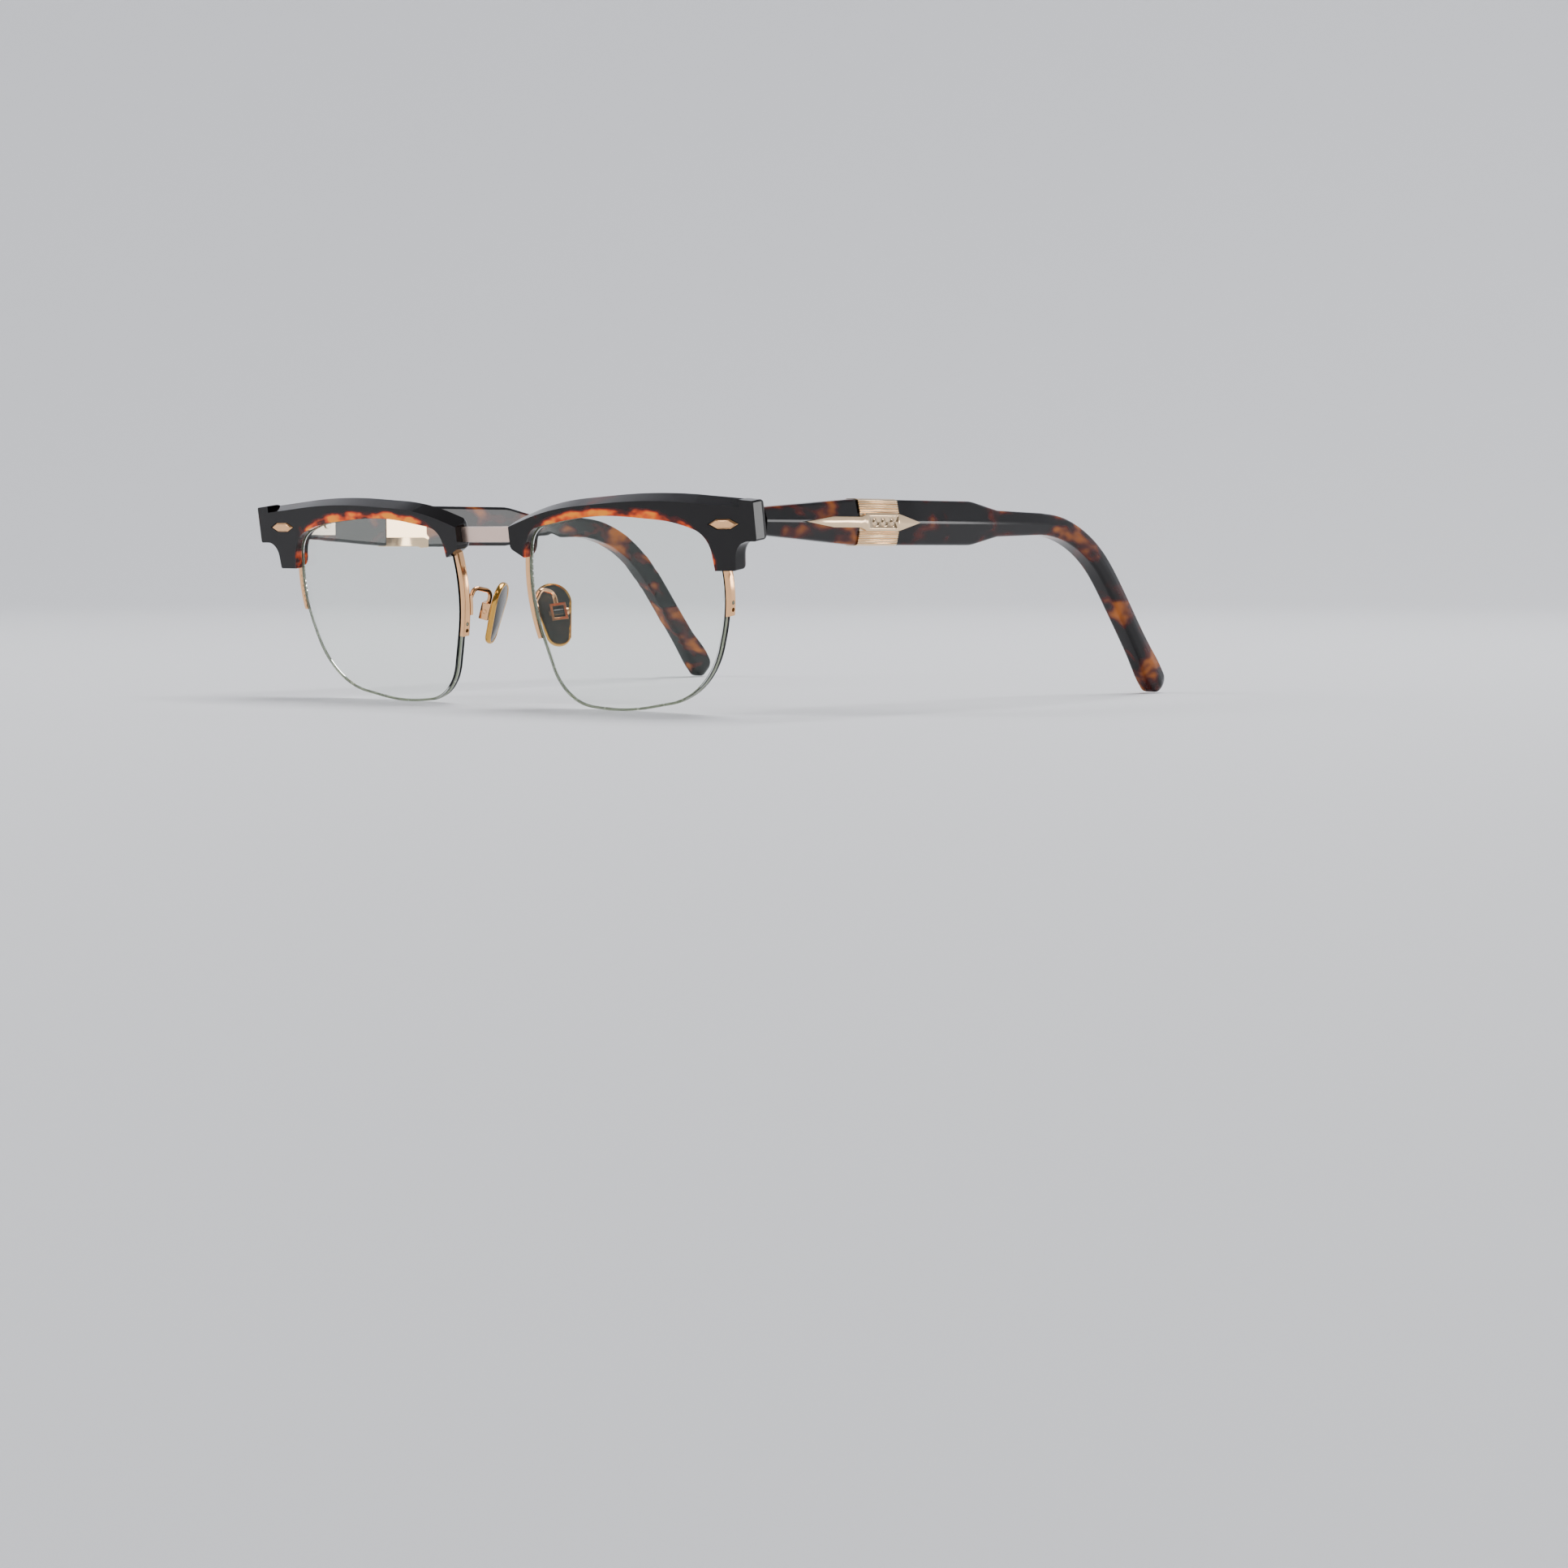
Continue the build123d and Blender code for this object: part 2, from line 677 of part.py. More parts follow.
def make_hinge_screw():
    """Slotted screw down the hinge barrel."""
    half = hinge_knuckles * hinge_knuckle_height / 2
    low, high = temple_line - half - hinge_screw_tail, temple_line + half
    screw = rod((axis_x, axis_y, low), (axis_x, axis_y, high), hinge_screw_radius)
    screw += rod((axis_x, axis_y, high), (axis_x, axis_y, high + hinge_screw_head), hinge_screw_head_radius)
    slot = Box(far, slot_width, slot_depth, align=(Align.CENTER, Align.CENTER, Align.MAX))
    return screw - Pos(axis_x, axis_y, high + hinge_screw_head) * slot


def temple_corners(height, grow):
    """Section of a temple: flat inside, two sloping faces that meet at a ridge outside."""
    half = height / 2
    edge = temple_outer - temple_ridge * height / temple_broad_height
    corners = [(temple_inner, -half), (temple_inner, half), (edge, half), (temple_outer, 0), (edge, -half)]
    return grown(corners, grow)


def temple_section(plane, height):
    """The temple's section on a plane across it."""
    radius = min(temple_edge_radius, height / 5)
    return plane * make_face(FilletPolyline(*temple_corners(height, 0), radius=radius, close=True))


def temple_plane(distance):
    """Plane across the straight temple, at a distance from its butt face."""
    return Plane(origin=(0, temple_start + distance, temple_line), x_dir=(1, 0, 0), z_dir=(0, -1, 0))


def bend_plane(angle, run):
    """Plane across the temple after a turn of the bend and a run along the tip."""
    turn = radians(angle)
    y = bend_y + bend_radius * sin(turn) + run * cos(turn)
    z = temple_line - bend_radius * (1 - cos(turn)) - run * sin(turn)
    return Plane(origin=(0, y, z), x_dir=(1, 0, 0), z_dir=(0, -cos(turn), sin(turn)))


def tip_run(floor):
    """Length of the straight tip that brings the temple's end down to the floor."""
    turn = radians(bend_angle)
    drop = temple_line - bend_radius * (1 - cos(turn)) - floor
    return (drop - temple_end_height / 2 * cos(turn)) / sin(turn)


def make_temple_blank(floor):
    """Acetate temple: broad in the middle, slim towards the ear, bent down behind it."""
    overrun = 1.5
    stations = (
        (-overrun, temple_front_height),
        (broad_start, temple_broad_height),
        (broad_end, temple_broad_height),
        (slim_start, temple_slim_height),
        (bend_start, temple_bend_height),
    )
    straight = loft([temple_section(temple_plane(d), h) for d, h in stations], ruled=True)
    steps = 5
    turns = [bend_angle * i / steps for i in range(steps + 1)]
    tail = [temple_section(bend_plane(turn, 0), temple_bend_height) for turn in turns]
    run = tip_run(floor)
    heights = (temple_bend_height, temple_tip_height, temple_tip_height, temple_end_height)
    for share, height in zip((*tip_shares, 1), heights):
        tail.append(temple_section(bend_plane(bend_angle, run * share), height))
    temple = straight + loft(tail)
    return temple - place_front(front_zone(brow_depth + temple_butt_gap))


def make_core(floor):
    """Flat wire inside the temple."""
    corner = bend_radius * (1 - cos(radians(bend_angle))) / sin(radians(bend_angle))
    x = (temple_inner + temple_outer - temple_ridge) / 2
    start = (x, temple_start + core_start, temple_line)
    end = bend_plane(bend_angle, tip_run(floor) - core_end_margin).origin
    points = (start, (x, bend_y + corner, temple_line), (x, end.Y, end.Z))
    path = FilletPolyline(*points, radius=[bend_radius])
    section = Rectangle(core_thickness, core_width)
    return sweep(Plane(origin=path @ 0, x_dir=(1, 0, 0), z_dir=path % 0) * section, path=path)


def plaque_solid(clearance, top):
    """Slim pointed plate set into the temple's outer face, wider where it crosses the cuff."""
    half = [
        (0, 0),
        (plaque_shoulder, plaque_narrow / 2),
        (plaque_bar, plaque_narrow / 2),
        (plaque_bar + plaque_step, plaque_wide / 2),
        (plaque_length - plaque_point, plaque_wide / 2),
        (plaque_length, 0),
    ]
    corners = half + [(y, -z) for y, z in reversed(half[1:-1])]
    outline = make_face(Polyline(*grown(corners, clearance), close=True))
    plane = Plane.YZ.offset(temple_outer - plaque_seat - clearance)
    place = Pos(0, temple_start + plaque_start, temple_line)
    if clearance:
        return place * extrude(plane * outline, top)
    body = extrude(plane * outline, plaque_seat + top - plaque_edge)
    shoulder = Plane.YZ.offset(temple_outer + top - plaque_edge)
    crown = extrude(shoulder * outline, plaque_edge, taper=45)
    return place * (body + crown)


def make_plaque():
    """The plate with three engraved rings."""
    plaque = plaque_solid(0, plaque_proud)
    wide_middle = (plaque_bar + plaque_step + plaque_length - plaque_point) / 2
    middle = temple_start + plaque_start + wide_middle
    for y in (middle - ring_pitch, middle, middle + ring_pitch):
        base = (temple_outer + plaque_proud - ring_depth, y, temple_line)
        end = (far * 2, y, temple_line)
        plaque -= rod(base, end, ring_radius) - rod(base, end, ring_radius - ring_line)
    return plaque


def cuff_bar(grow):
    """The temple's broad section, grown, as long as the cuff."""
    outline = FilletPolyline(
        *temple_corners(temple_broad_height, grow), radius=temple_edge_radius + grow, close=True
    )
    return extrude(temple_plane(cuff_start) * make_face(outline), cuff_length, dir=(0, 1, 0))


def make_cuff():
    """Metal sleeve round the temple, fluted above and below the plate."""
    cuff = cuff_bar(cuff_fit + cuff_wall) - cuff_bar(cuff_fit) - plaque_solid(plaque_fit, far)
    first = plaque_wide / 2 + flute_margin
    pitch = (temple_broad_height / 2 - first) / flute_count
    slope = temple_ridge / (temple_broad_height / 2)
    for i in range(flute_count):
        height = first + i * pitch
        surface = temple_outer + cuff_fit + cuff_wall - slope * height
        flute = Box(far, far, flute_width, align=(Align.MIN, Align.CENTER, Align.CENTER))
        for side in (-1, 1):
            cuff -= Pos(surface - flute_depth, temple_start + cuff_start, temple_line + side * height) * flute
    return cuff


def make_side():
    """Every piece of the left half, in place, by name."""
    pieces = {
        "brow": make_brow(),
        "rim": make_rim(),
        "lens": make_lens(),
        "lens_cord": make_cord(),
        "rim_liner": make_liner(),
        "front_pin": pin_solid(0, pin_proud),
        "brow_screws": Compound(make_brow_screws()),
        "pad_arm": make_pad_arm(),
        "pad_box": make_pad_box(),
        "pad_screw": make_pad_screw(),
        "pad_bezel": make_pad_bezel(),
        "nose_pad": make_pad(),
    }
    pieces = {name: place_front(shape) for name, shape in pieces.items()}
    floor = pieces["lens"].bounding_box().min.Z
    rivets = Compound(make_leaf_rivets())
    core = make_core(floor)
    temple = make_temple_blank(floor) - core - plaque_solid(plaque_fit, far)
    for rivet in make_leaf_rivets():
        temple -= rivet
    pieces["hinge_front_leaf"] = make_front_leaf()
    pieces["hinge_temple_leaf"] = make_temple_leaf()
    pieces["hinge_screw"] = make_hinge_screw()
    pieces["hinge_rivets"] = rivets
    pieces["temple"] = temple
    pieces["temple_core"] = core
    pieces["cuff"] = make_cuff()
    pieces["plaque"] = make_plaque()
    return pieces


def make_nodes():
    """Both halves and the bridge, by name."""
    nodes = {"bridge": make_bridge()}
    for name, shape in make_side().items():
        nodes[name + "_left"] = shape
        nodes[name + "_right"] = mirror(shape, about=Plane.YZ)
    return nodes


def origin_shift(nodes):
    """The move that brings the middle of the whole over the origin and its lowest point down to it."""
    box = Compound(list(nodes.values())).bounding_box()
    return Pos(0, -(box.min.Y + box.max.Y) / 2, -box.min.Z)


if __name__ == "__main__":
    os.makedirs("parts", exist_ok=True)
    nodes = make_nodes()
    shift = origin_shift(nodes)
    for name, shape in nodes.items():
        export_step(shift * shape, f"parts/{name}.step")
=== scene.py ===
"""Half rim eyeglasses: finishes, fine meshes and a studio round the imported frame."""

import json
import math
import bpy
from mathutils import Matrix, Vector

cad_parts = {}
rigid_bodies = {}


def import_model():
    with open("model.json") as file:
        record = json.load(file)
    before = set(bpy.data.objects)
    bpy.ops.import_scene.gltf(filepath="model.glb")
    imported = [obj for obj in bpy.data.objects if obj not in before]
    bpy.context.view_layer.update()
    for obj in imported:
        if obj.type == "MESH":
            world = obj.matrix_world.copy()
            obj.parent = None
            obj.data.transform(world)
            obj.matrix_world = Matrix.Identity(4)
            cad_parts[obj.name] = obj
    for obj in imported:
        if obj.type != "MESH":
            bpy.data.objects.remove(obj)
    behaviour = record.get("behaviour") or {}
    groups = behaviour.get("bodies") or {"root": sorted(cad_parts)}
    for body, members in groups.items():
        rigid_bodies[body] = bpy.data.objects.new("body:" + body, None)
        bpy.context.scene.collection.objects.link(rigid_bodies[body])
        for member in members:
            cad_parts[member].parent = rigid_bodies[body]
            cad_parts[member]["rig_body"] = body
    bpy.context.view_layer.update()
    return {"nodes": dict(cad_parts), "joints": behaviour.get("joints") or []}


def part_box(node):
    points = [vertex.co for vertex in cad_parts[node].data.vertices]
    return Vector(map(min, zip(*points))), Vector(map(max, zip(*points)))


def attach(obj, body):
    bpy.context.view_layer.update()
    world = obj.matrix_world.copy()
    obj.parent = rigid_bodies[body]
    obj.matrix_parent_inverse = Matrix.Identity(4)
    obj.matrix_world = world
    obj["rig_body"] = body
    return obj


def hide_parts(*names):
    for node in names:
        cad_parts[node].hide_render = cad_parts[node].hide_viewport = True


bl_info = {
    "name": "Half rim eyeglasses",
    "version": (1, 0, 0),
    "blender": (4, 5, 0),
    "location": "3D View > Sidebar > Eyeglasses",
    "description": "Gives the eyeglasses their fine shapes and finishes and sets up a plain studio",
    "category": "Object",
}

import bmesh
import bpy
import numpy as np
from mathutils import Matrix, Vector

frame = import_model()
MM = 0.001
SIDES = ("left", "right")
HINGE_TO_BEND = 85.9 * MM
FOLD = next(joint for joint in frame["joints"] if joint["name"] == "temple_left_fold")["pos_m"]
BEND_START = FOLD[1] + HINGE_TO_BEND
CAMERA_PLACE = Vector((0.4410, -0.4961, 0.0314))
STATION_STEP = 1.5 * MM
BUTT_OVERRUN = 2.0 * MM  # the temples start this far ahead of their butt faces, then are cut off
BUTT_SAMPLE = 1.2 * MM
TIP_LENGTH = 2.4 * MM
LENS_POINTS = 180
CUFF_POINTS = 420
PAD_POINTS = 96
WELD = 0.002 * MM
FLAT_ANGLE = math.radians(0.3)  # triangles nearer in line than this are one face
SHARP_ANGLE = math.radians(32)  # edges steeper than this stay sharp
BEVEL_ANGLE = math.radians(33)


# Properties


class AcetateSettings(bpy.types.PropertyGroup):
    """Colours and pattern sizes of the tortoiseshell acetate."""

    ground: bpy.props.StringProperty(
        name="Ground", description="Black-brown of the sheet", default="#080506"
    )
    # Red-brown of the patches, also the low end of the painted glow near the lens
    patch_and_painted_glow_red: bpy.props.StringProperty(
        name="Smoulder", description="Red-brown round the patches", default="#4A0E04"
    )
    amber: bpy.props.StringProperty(
        name="Amber", description="Amber of the patches", default="#A85A10"
    )
    # Orange and yellow of the painted glow near the lens, which stands in for light coming through the thin
    # bar
    painted_glow_orange: bpy.props.StringProperty(
        name="Flame", description="Orange where the bar is thin", default="#E04A00"
    )
    painted_glow_yellow: bpy.props.StringProperty(
        name="Honey", description="Yellow heart of the brightest flecks", default="#FF9400"
    )
    patch: bpy.props.FloatProperty(
        name="Patch", description="Size of a patch across the bar", default=5.5 * MM, subtype="DISTANCE"
    )
    stretch: bpy.props.FloatProperty(
        name="Stretch", description="Length of a patch over its width", default=1.9
    )
    brow_patches: bpy.props.FloatProperty(
        name="Brow patches", description="Noise value above which the brow bars turn amber", default=0.62
    )
    temple_patches: bpy.props.FloatProperty(
        name="Temple patches", description="Noise value above which the temples turn amber", default=0.50
    )
    # Width and strength of the painted glow near the lens: it lightens the colour there and is also given as
    # emission
    painted_glow_width: bpy.props.FloatProperty(
        name="Thin edge", description="Width of the glow round the lens", default=1.6 * MM, subtype="DISTANCE"
    )
    glow: bpy.props.FloatProperty(
        name="Glow", description="Light that comes through the thin edge", default=0.12
    )


class MetalSettings(bpy.types.PropertyGroup):
    """Colours of the plated metal parts."""

    rose_gold: bpy.props.StringProperty(
        name="Rose gold", description="Half rims and front pins", default="#EFB884"
    )
    satin: bpy.props.StringProperty(name="Satin", description="Bridge bar", default="#C69A82")
    pale_gold: bpy.props.StringProperty(name="Pale gold", description="Cuffs and plates", default="#EFCFA6")
    pad_gold: bpy.props.StringProperty(name="Pad gold", description="Nose pad mounts", default="#D9A650")
    nickel: bpy.props.StringProperty(name="Nickel silver", description="Hinges and screws", default="#D8CDBB")
    wear: bpy.props.FloatProperty(
        name="Wear", description="Size of the polish marks", default=0.9 * MM, subtype="DISTANCE"
    )
    line_stretch: bpy.props.FloatProperty(
        name="Line stretch", description="Length of a brushed line over its width", default=14.0
    )


class ClearSettings(bpy.types.PropertyGroup):
    """Lenses, cords and nose pads."""

    lens_tint: bpy.props.StringProperty(name="Lens tint", description="Tint of the lens", default="#F8FBF8")
    lens_coat: bpy.props.StringProperty(
        name="Lens coat", description="What the coating leaves of the reflection", default="#6C7C74"
    )
    nylon: bpy.props.StringProperty(name="Nylon", description="Tint of the cord", default="#B9C2A6")
    smoke: bpy.props.StringProperty(name="Smoke", description="Nose pad insert", default="#4E4D4A")
    groove: bpy.props.FloatProperty(
        name="Groove", description="Depth of the cord's groove", default=0.5 * MM, subtype="DISTANCE"
    )
    lens_bow: bpy.props.FloatProperty(
        name="Lens bow", description="How far the lens bulges forward", default=0.8 * MM, subtype="DISTANCE"
    )
    pad_toe: bpy.props.FloatProperty(
        name="Pad toe", description="Radius of the pad's lower end", default=2.6 * MM, subtype="DISTANCE"
    )
    pad_crown: bpy.props.FloatProperty(
        name="Pad crown", description="How far its nose side domes", default=0.55 * MM, subtype="DISTANCE"
    )
    pad_back: bpy.props.FloatProperty(
        name="Pad back", description="How far its back domes", default=0.06 * MM, subtype="DISTANCE"
    )


class TempleSettings(bpy.types.PropertyGroup):
    """Sizes of the temples and cuffs that their solids don't show by themselves."""

    bend_start: bpy.props.FloatProperty(
        name="Bend start",
        description="Where the temple starts to turn down",
        default=BEND_START,
        subtype="DISTANCE",
    )
    bend_radius: bpy.props.FloatProperty(
        name="Bend radius", description="Of the temple's middle line", default=34 * MM, subtype="DISTANCE"
    )
    bend_angle: bpy.props.FloatProperty(
        name="Bend angle", description="How far the tip turns down", default=math.radians(50), subtype="ANGLE"
    )
    broad: bpy.props.FloatProperty(
        name="Broad height", description="Of the temple's broad part", default=8.9 * MM, subtype="DISTANCE"
    )
    ridge: bpy.props.FloatProperty(
        name="Ridge", description="How far the ridge stands out there", default=1.0 * MM, subtype="DISTANCE"
    )
    edge: bpy.props.FloatProperty(
        name="Edge", description="Size of the rounded edges", default=0.7 * MM, subtype="DISTANCE"
    )
    ribs: bpy.props.IntProperty(name="Ribs", description="On each side of the plate", default=6)
    rib: bpy.props.FloatProperty(
        name="Rib", description="How far a rib stands out", default=0.22 * MM, subtype="DISTANCE"
    )


class StudioSettings(bpy.types.PropertyGroup):
    """Camera and studio."""

    azimuth: bpy.props.FloatProperty(
        name="Azimuth", description="Round from the front", default=math.radians(40.41), subtype="ANGLE"
    )
    elevation: bpy.props.FloatProperty(
        name="Elevation", description="Above the horizon", default=math.radians(4.38), subtype="ANGLE"
    )
    lens: bpy.props.FloatProperty(name="Focal length", description="In millimetres", default=70.3)
    backdrop: bpy.props.StringProperty(name="Backdrop", description="Floor and wall", default="#DEDFE3")


# Colour and nodes


def linear(code):
    """An sRGB hex colour as linear RGBA."""
    values = [int(code[i : i + 2], 16) / 255 for i in (1, 3, 5)]
    return [c / 12.92 if c <= 0.04045 else ((c + 0.055) / 1.055) ** 2.4 for c in values] + [1.0]


def add(tree, kind, links=None, **settings):
    """Adds a shader node. Settings are attributes or input values, links are sockets for its inputs."""
    made = tree.nodes.new(kind)
    for key, value in settings.items():
        if hasattr(made, key):
            setattr(made, key, value)
        else:
            made.inputs[key.replace("_", " ")].default_value = value
    for key, socket in (links or {}).items():
        tree.links.new(socket, made.inputs[key])
    return made


def new_material(name):
    """An empty node material and its output node."""
    material = bpy.data.materials.new(name)
    material.use_nodes = True
    material.node_tree.nodes.clear()
    return material, material.node_tree, add(material.node_tree, "ShaderNodeOutputMaterial")


def close_material(tree, output, shader):
    """Joins the shader to the output."""
    tree.links.new(shader.outputs[0], output.inputs["Surface"])


def object_place(tree, scale):
    """Object coordinates in metres, scaled per axis."""
    place = add(tree, "ShaderNodeTexCoord")
    return add(tree, "ShaderNodeMapping", {"Vector": place.outputs["Object"]}, Scale=scale).outputs[0]


def plain_noise(tree, size, detail):
    """Noise with patches of a size in millimetres."""
    place = object_place(tree, [1 / (size * MM)] * 3)
    return add(tree, "ShaderNodeTexNoise", {"Vector": place}, Scale=1.0, Detail=detail).outputs["Fac"]


def ramp(tree, factor, stops):
    """A colour ramp through (position, hex) stops."""
    made = add(tree, "ShaderNodeValToRGB", {"Fac": factor})
    elements = made.color_ramp.elements
    while len(elements) < len(stops):
        elements.new(0.5)
    for element, (position, code) in zip(elements, stops):
        element.position = position
        element.color = linear(code)
    return made.outputs["Color"]


def map_range(tree, value, low, high, start=0.0, end=1.0):
    """A value between start and end carried over to low and high."""
    return add(
        tree, "ShaderNodeMapRange", {"Value": value}, From_Min=start, From_Max=end, To_Min=low, To_Max=high
    ).outputs[0]


# Finishes


def acetate_material(name, along, thin):
    """Cellulose acetate tortoiseshell, tumbled and polished: near black with amber patches in its depth.

    The patches run along the bar. Near the lens a painted glow, from red-brown to yellow, lightens the colour
    and is also given as emission, standing in for light that would come through the thin bar. A clear gloss
    lies over everything.
    """
    look = bpy.context.scene.glasses_acetate
    material, tree, output = new_material(name)
    scale = [1 / look.patch] * 3
    scale[along] /= look.stretch
    place = object_place(tree, scale)
    cloud = add(tree, "ShaderNodeTexNoise", {"Vector": place}, Scale=1.0, Detail=2.0, Distortion=0.25)
    start = look.brow_patches if thin else look.temple_patches
    to_smoulder, to_amber = 0.07, 0.18  # how far inside a patch each colour is reached
    stops = [(start, look.ground), (start + to_smoulder, look.patch_and_painted_glow_red), (start + to_amber, look.amber)]
    colour = ramp(tree, cloud.outputs["Fac"], stops)
    # Painted glow near the lens: the colour is lightened from red-brown to yellow in a noisy band, standing
    # in for light coming through the thin bar
    if thin:
        near = painted_glow_mask(tree, look.painted_glow_width)
        painted_glow_noise = add(tree, "ShaderNodeTexNoise", {"Vector": place}, Scale=2.2, Detail=2.0)
        lift = arithmetic(tree, "MULTIPLY", near, painted_glow_noise.outputs["Fac"])
        stops = [(0.24, "#000000"), (0.38, look.patch_and_painted_glow_red), (0.50, look.painted_glow_orange), (0.62, look.painted_glow_yellow)]
        glow = ramp(tree, lift, stops)
        mixed = add(tree, "ShaderNodeMix", data_type="RGBA", blend_type="LIGHTEN", Factor=1.0)
        tree.links.new(colour, mixed.inputs["A"])
        tree.links.new(glow, mixed.inputs["B"])
        colour = mixed.outputs["Result"]
    scuff = add(tree, "ShaderNodeTexNoise", {"Vector": place}, Scale=12.0, Detail=2.0)
    rough = map_range(tree, scuff.outputs["Fac"], 0.05, 0.12)
    links = {"Base Color": colour, "Roughness": rough}
    shader = add(tree, "ShaderNodeBsdfPrincipled", links, IOR=1.49, Specular_IOR_Level=0.3)
    # The painted glow is also given as emission, so the bar shines there with no lamp behind it
    if thin:
        tree.links.new(glow, shader.inputs["Emission Color"])
        shader.inputs["Emission Strength"].default_value = look.glow
    close_material(tree, output, shader)
    return material


def arithmetic(tree, operation, first, second=None):
    """A maths node's output. The first value is a socket, the second one a number or a socket."""
    made = add(tree, "ShaderNodeMath", {0: first}, operation=operation)
    if isinstance(second, float):
        made.inputs[1].default_value = second
    elif second is not None:
        tree.links.new(second, made.inputs[1])
    return made.outputs[0]


def painted_glow_mask(tree, width):
    """Mask of the painted glow: one at the lens's edge, nothing a width above it. The lens is taken as a
    rounded box.
    """
    low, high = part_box("lens_left")
    middle, half = (low + high) / 2, (high - low) / 2
    squareness = 3.3
    place = add(tree, "ShaderNodeTexCoord").outputs["Object"]
    split = add(tree, "ShaderNodeSeparateXYZ", {"Vector": place})
    across = arithmetic(tree, "ABSOLUTE", split.outputs["X"])
    powers = []
    for socket, axis in ((across, 0), (split.outputs["Z"], 2)):
        off = arithmetic(tree, "SUBTRACT", socket, middle[axis])
        share = arithmetic(tree, "ABSOLUTE", arithmetic(tree, "DIVIDE", off, half[axis]))
        powers.append(arithmetic(tree, "POWER", share, squareness))
    root = arithmetic(tree, "POWER", arithmetic(tree, "ADD", *powers), 1 / squareness)
    return map_range(tree, root, 1.0, 0.0, 1.0, 1.0 + width / half.z)


def metal_material(name, code, rough_low, rough_high, brushed=None):
    """Plated nickel silver, polished: soft marks of the polishing wheel vary its gloss.

    A brushed one has fine lines along an axis instead.
    """
    look = bpy.context.scene.glasses_metal
    material, tree, output = new_material(name)
    scale = [1 / look.wear] * 3
    if brushed is not None:
        scale[brushed] /= look.line_stretch
    place = object_place(tree, scale)
    wheel = add(tree, "ShaderNodeTexNoise", {"Vector": place}, Scale=1.0, Detail=4.0, Roughness=0.6)
    marks = wheel.outputs["Fac"]
    tone = map_range(tree, marks, 0.9, 1.06)
    shade = add(tree, "ShaderNodeHueSaturation", {"Value": tone}, Color=linear(code)).outputs[0]
    bump = add(tree, "ShaderNodeBump", {"Height": marks}, Strength=0.15, Distance=0.01 * MM).outputs[0]
    links = {"Base Color": shade, "Roughness": map_range(tree, marks, rough_low, rough_high), "Normal": bump}
    shader = add(tree, "ShaderNodeBsdfPrincipled", links, Metallic=1.0)
    close_material(tree, output, shader)
    return material


def lens_material():
    """Optical plastic, ground and coated: clear, with a faint green in its depth and a hint of dust."""
    look = bpy.context.scene.glasses_clear
    material, tree, output = new_material("coated_lens_plastic")
    dust = plain_noise(tree, 4.0, 5.0)
    shader = add(
        tree,
        "ShaderNodeBsdfPrincipled",
        {"Roughness": map_range(tree, dust, 0.0, 0.012)},
        Base_Color=linear(look.lens_tint),
        Transmission_Weight=1.0,
        IOR=1.5,
        Specular_Tint=linear(look.lens_coat),
    )
    close_material(tree, output, shader)
    return material


def nylon_material():
    """Drawn nylon line: clear and slightly milky, it takes the colour of what is behind it."""
    look = bpy.context.scene.glasses_clear
    material, tree, output = new_material("drawn_nylon")
    milk = plain_noise(tree, 1.5, 3.0)
    shader = add(
        tree,
        "ShaderNodeBsdfPrincipled",
        {"Roughness": map_range(tree, milk, 0.15, 0.35)},
        Base_Color=linear(look.nylon),
        Transmission_Weight=0.45,
        IOR=1.53,
    )
    close_material(tree, output, shader)
    return material


def pad_material():
    """Moulded smoke acetate pad: soft gloss, a little light comes through."""
    look = bpy.context.scene.glasses_clear
    material, tree, output = new_material("moulded_smoke_pad")
    grain = plain_noise(tree, 1.2, 3.0)
    shader = add(
        tree,
        "ShaderNodeBsdfPrincipled",
        {"Roughness": map_range(tree, grain, 0.1, 0.2)},
        Base_Color=linear(look.smoke),
        Transmission_Weight=0.5,
        IOR=1.5,
    )
    close_material(tree, output, shader)
    return material


def stage_material():
    """Matt painted studio cove."""
    look = bpy.context.scene.glasses_studio
    material, tree, output = new_material("matt_studio_paint")
    mottle = plain_noise(tree, 300.0, 2.0)
    links = {"Roughness": map_range(tree, mottle, 0.7, 0.85)}
    shader = add(tree, "ShaderNodeBsdfPrincipled", links, Base_Color=linear(look.backdrop))
    close_material(tree, output, shader)
    return material


def finish_named(name):
    """The material of that name, made on its first use."""
    found = bpy.data.materials.get(name)
    if found:
        return found
    look = bpy.context.scene.glasses_metal
    makers = {
        # Near black bars and temples, with amber showing from their depth
        "brow_tortoiseshell": lambda: acetate_material(name, 0, True),
        "temple_tortoiseshell": lambda: acetate_material(name, 1, False),
        # Warm gold mirrors with a little red, from the rims to the pins
        "polished_rose_gold": lambda: metal_material(name, look.rose_gold, 0.07, 0.15),
        # The same metal with fine lines along the bridge, duller and greyer
        "satin_rose_gold": lambda: metal_material(name, look.satin, 0.26, 0.4, brushed=0),
        # Cuffs and plates: a paler gold, brighter where a lamp is mirrored
        "polished_pale_gold": lambda: metal_material(name, look.pale_gold, 0.08, 0.17),
        # Yellow gold rings round the pads
        "polished_pad_gold": lambda: metal_material(name, look.pad_gold, 0.1, 0.2),
        # Hinges, screws and cores: grey-white metal with turning lines
        "turned_nickel_silver": lambda: metal_material(name, look.nickel, 0.2, 0.35, brushed=1),
        "coated_lens_plastic": lens_material,
        "drawn_nylon": nylon_material,
        "moulded_smoke_pad": pad_material,
        "matt_studio_paint": stage_material,
    }
    return makers[name]()


# Meshes


def welded_copy(node):
    """A new bmesh with a node's shape, its faces joined along their edges."""
    made = bmesh.new()
    made.from_mesh(frame["nodes"][node].data)
    bmesh.ops.remove_doubles(made, verts=made.verts, dist=WELD)
    return made


def clean_copy(node):
    """A welded copy of a node, its flat triangles joined to whole faces."""
    made = welded_copy(node)
    bmesh.ops.dissolve_limit(
        made, angle_limit=FLAT_ANGLE, verts=made.verts, edges=made.edges, delimit={"NORMAL"}
    )
    return made


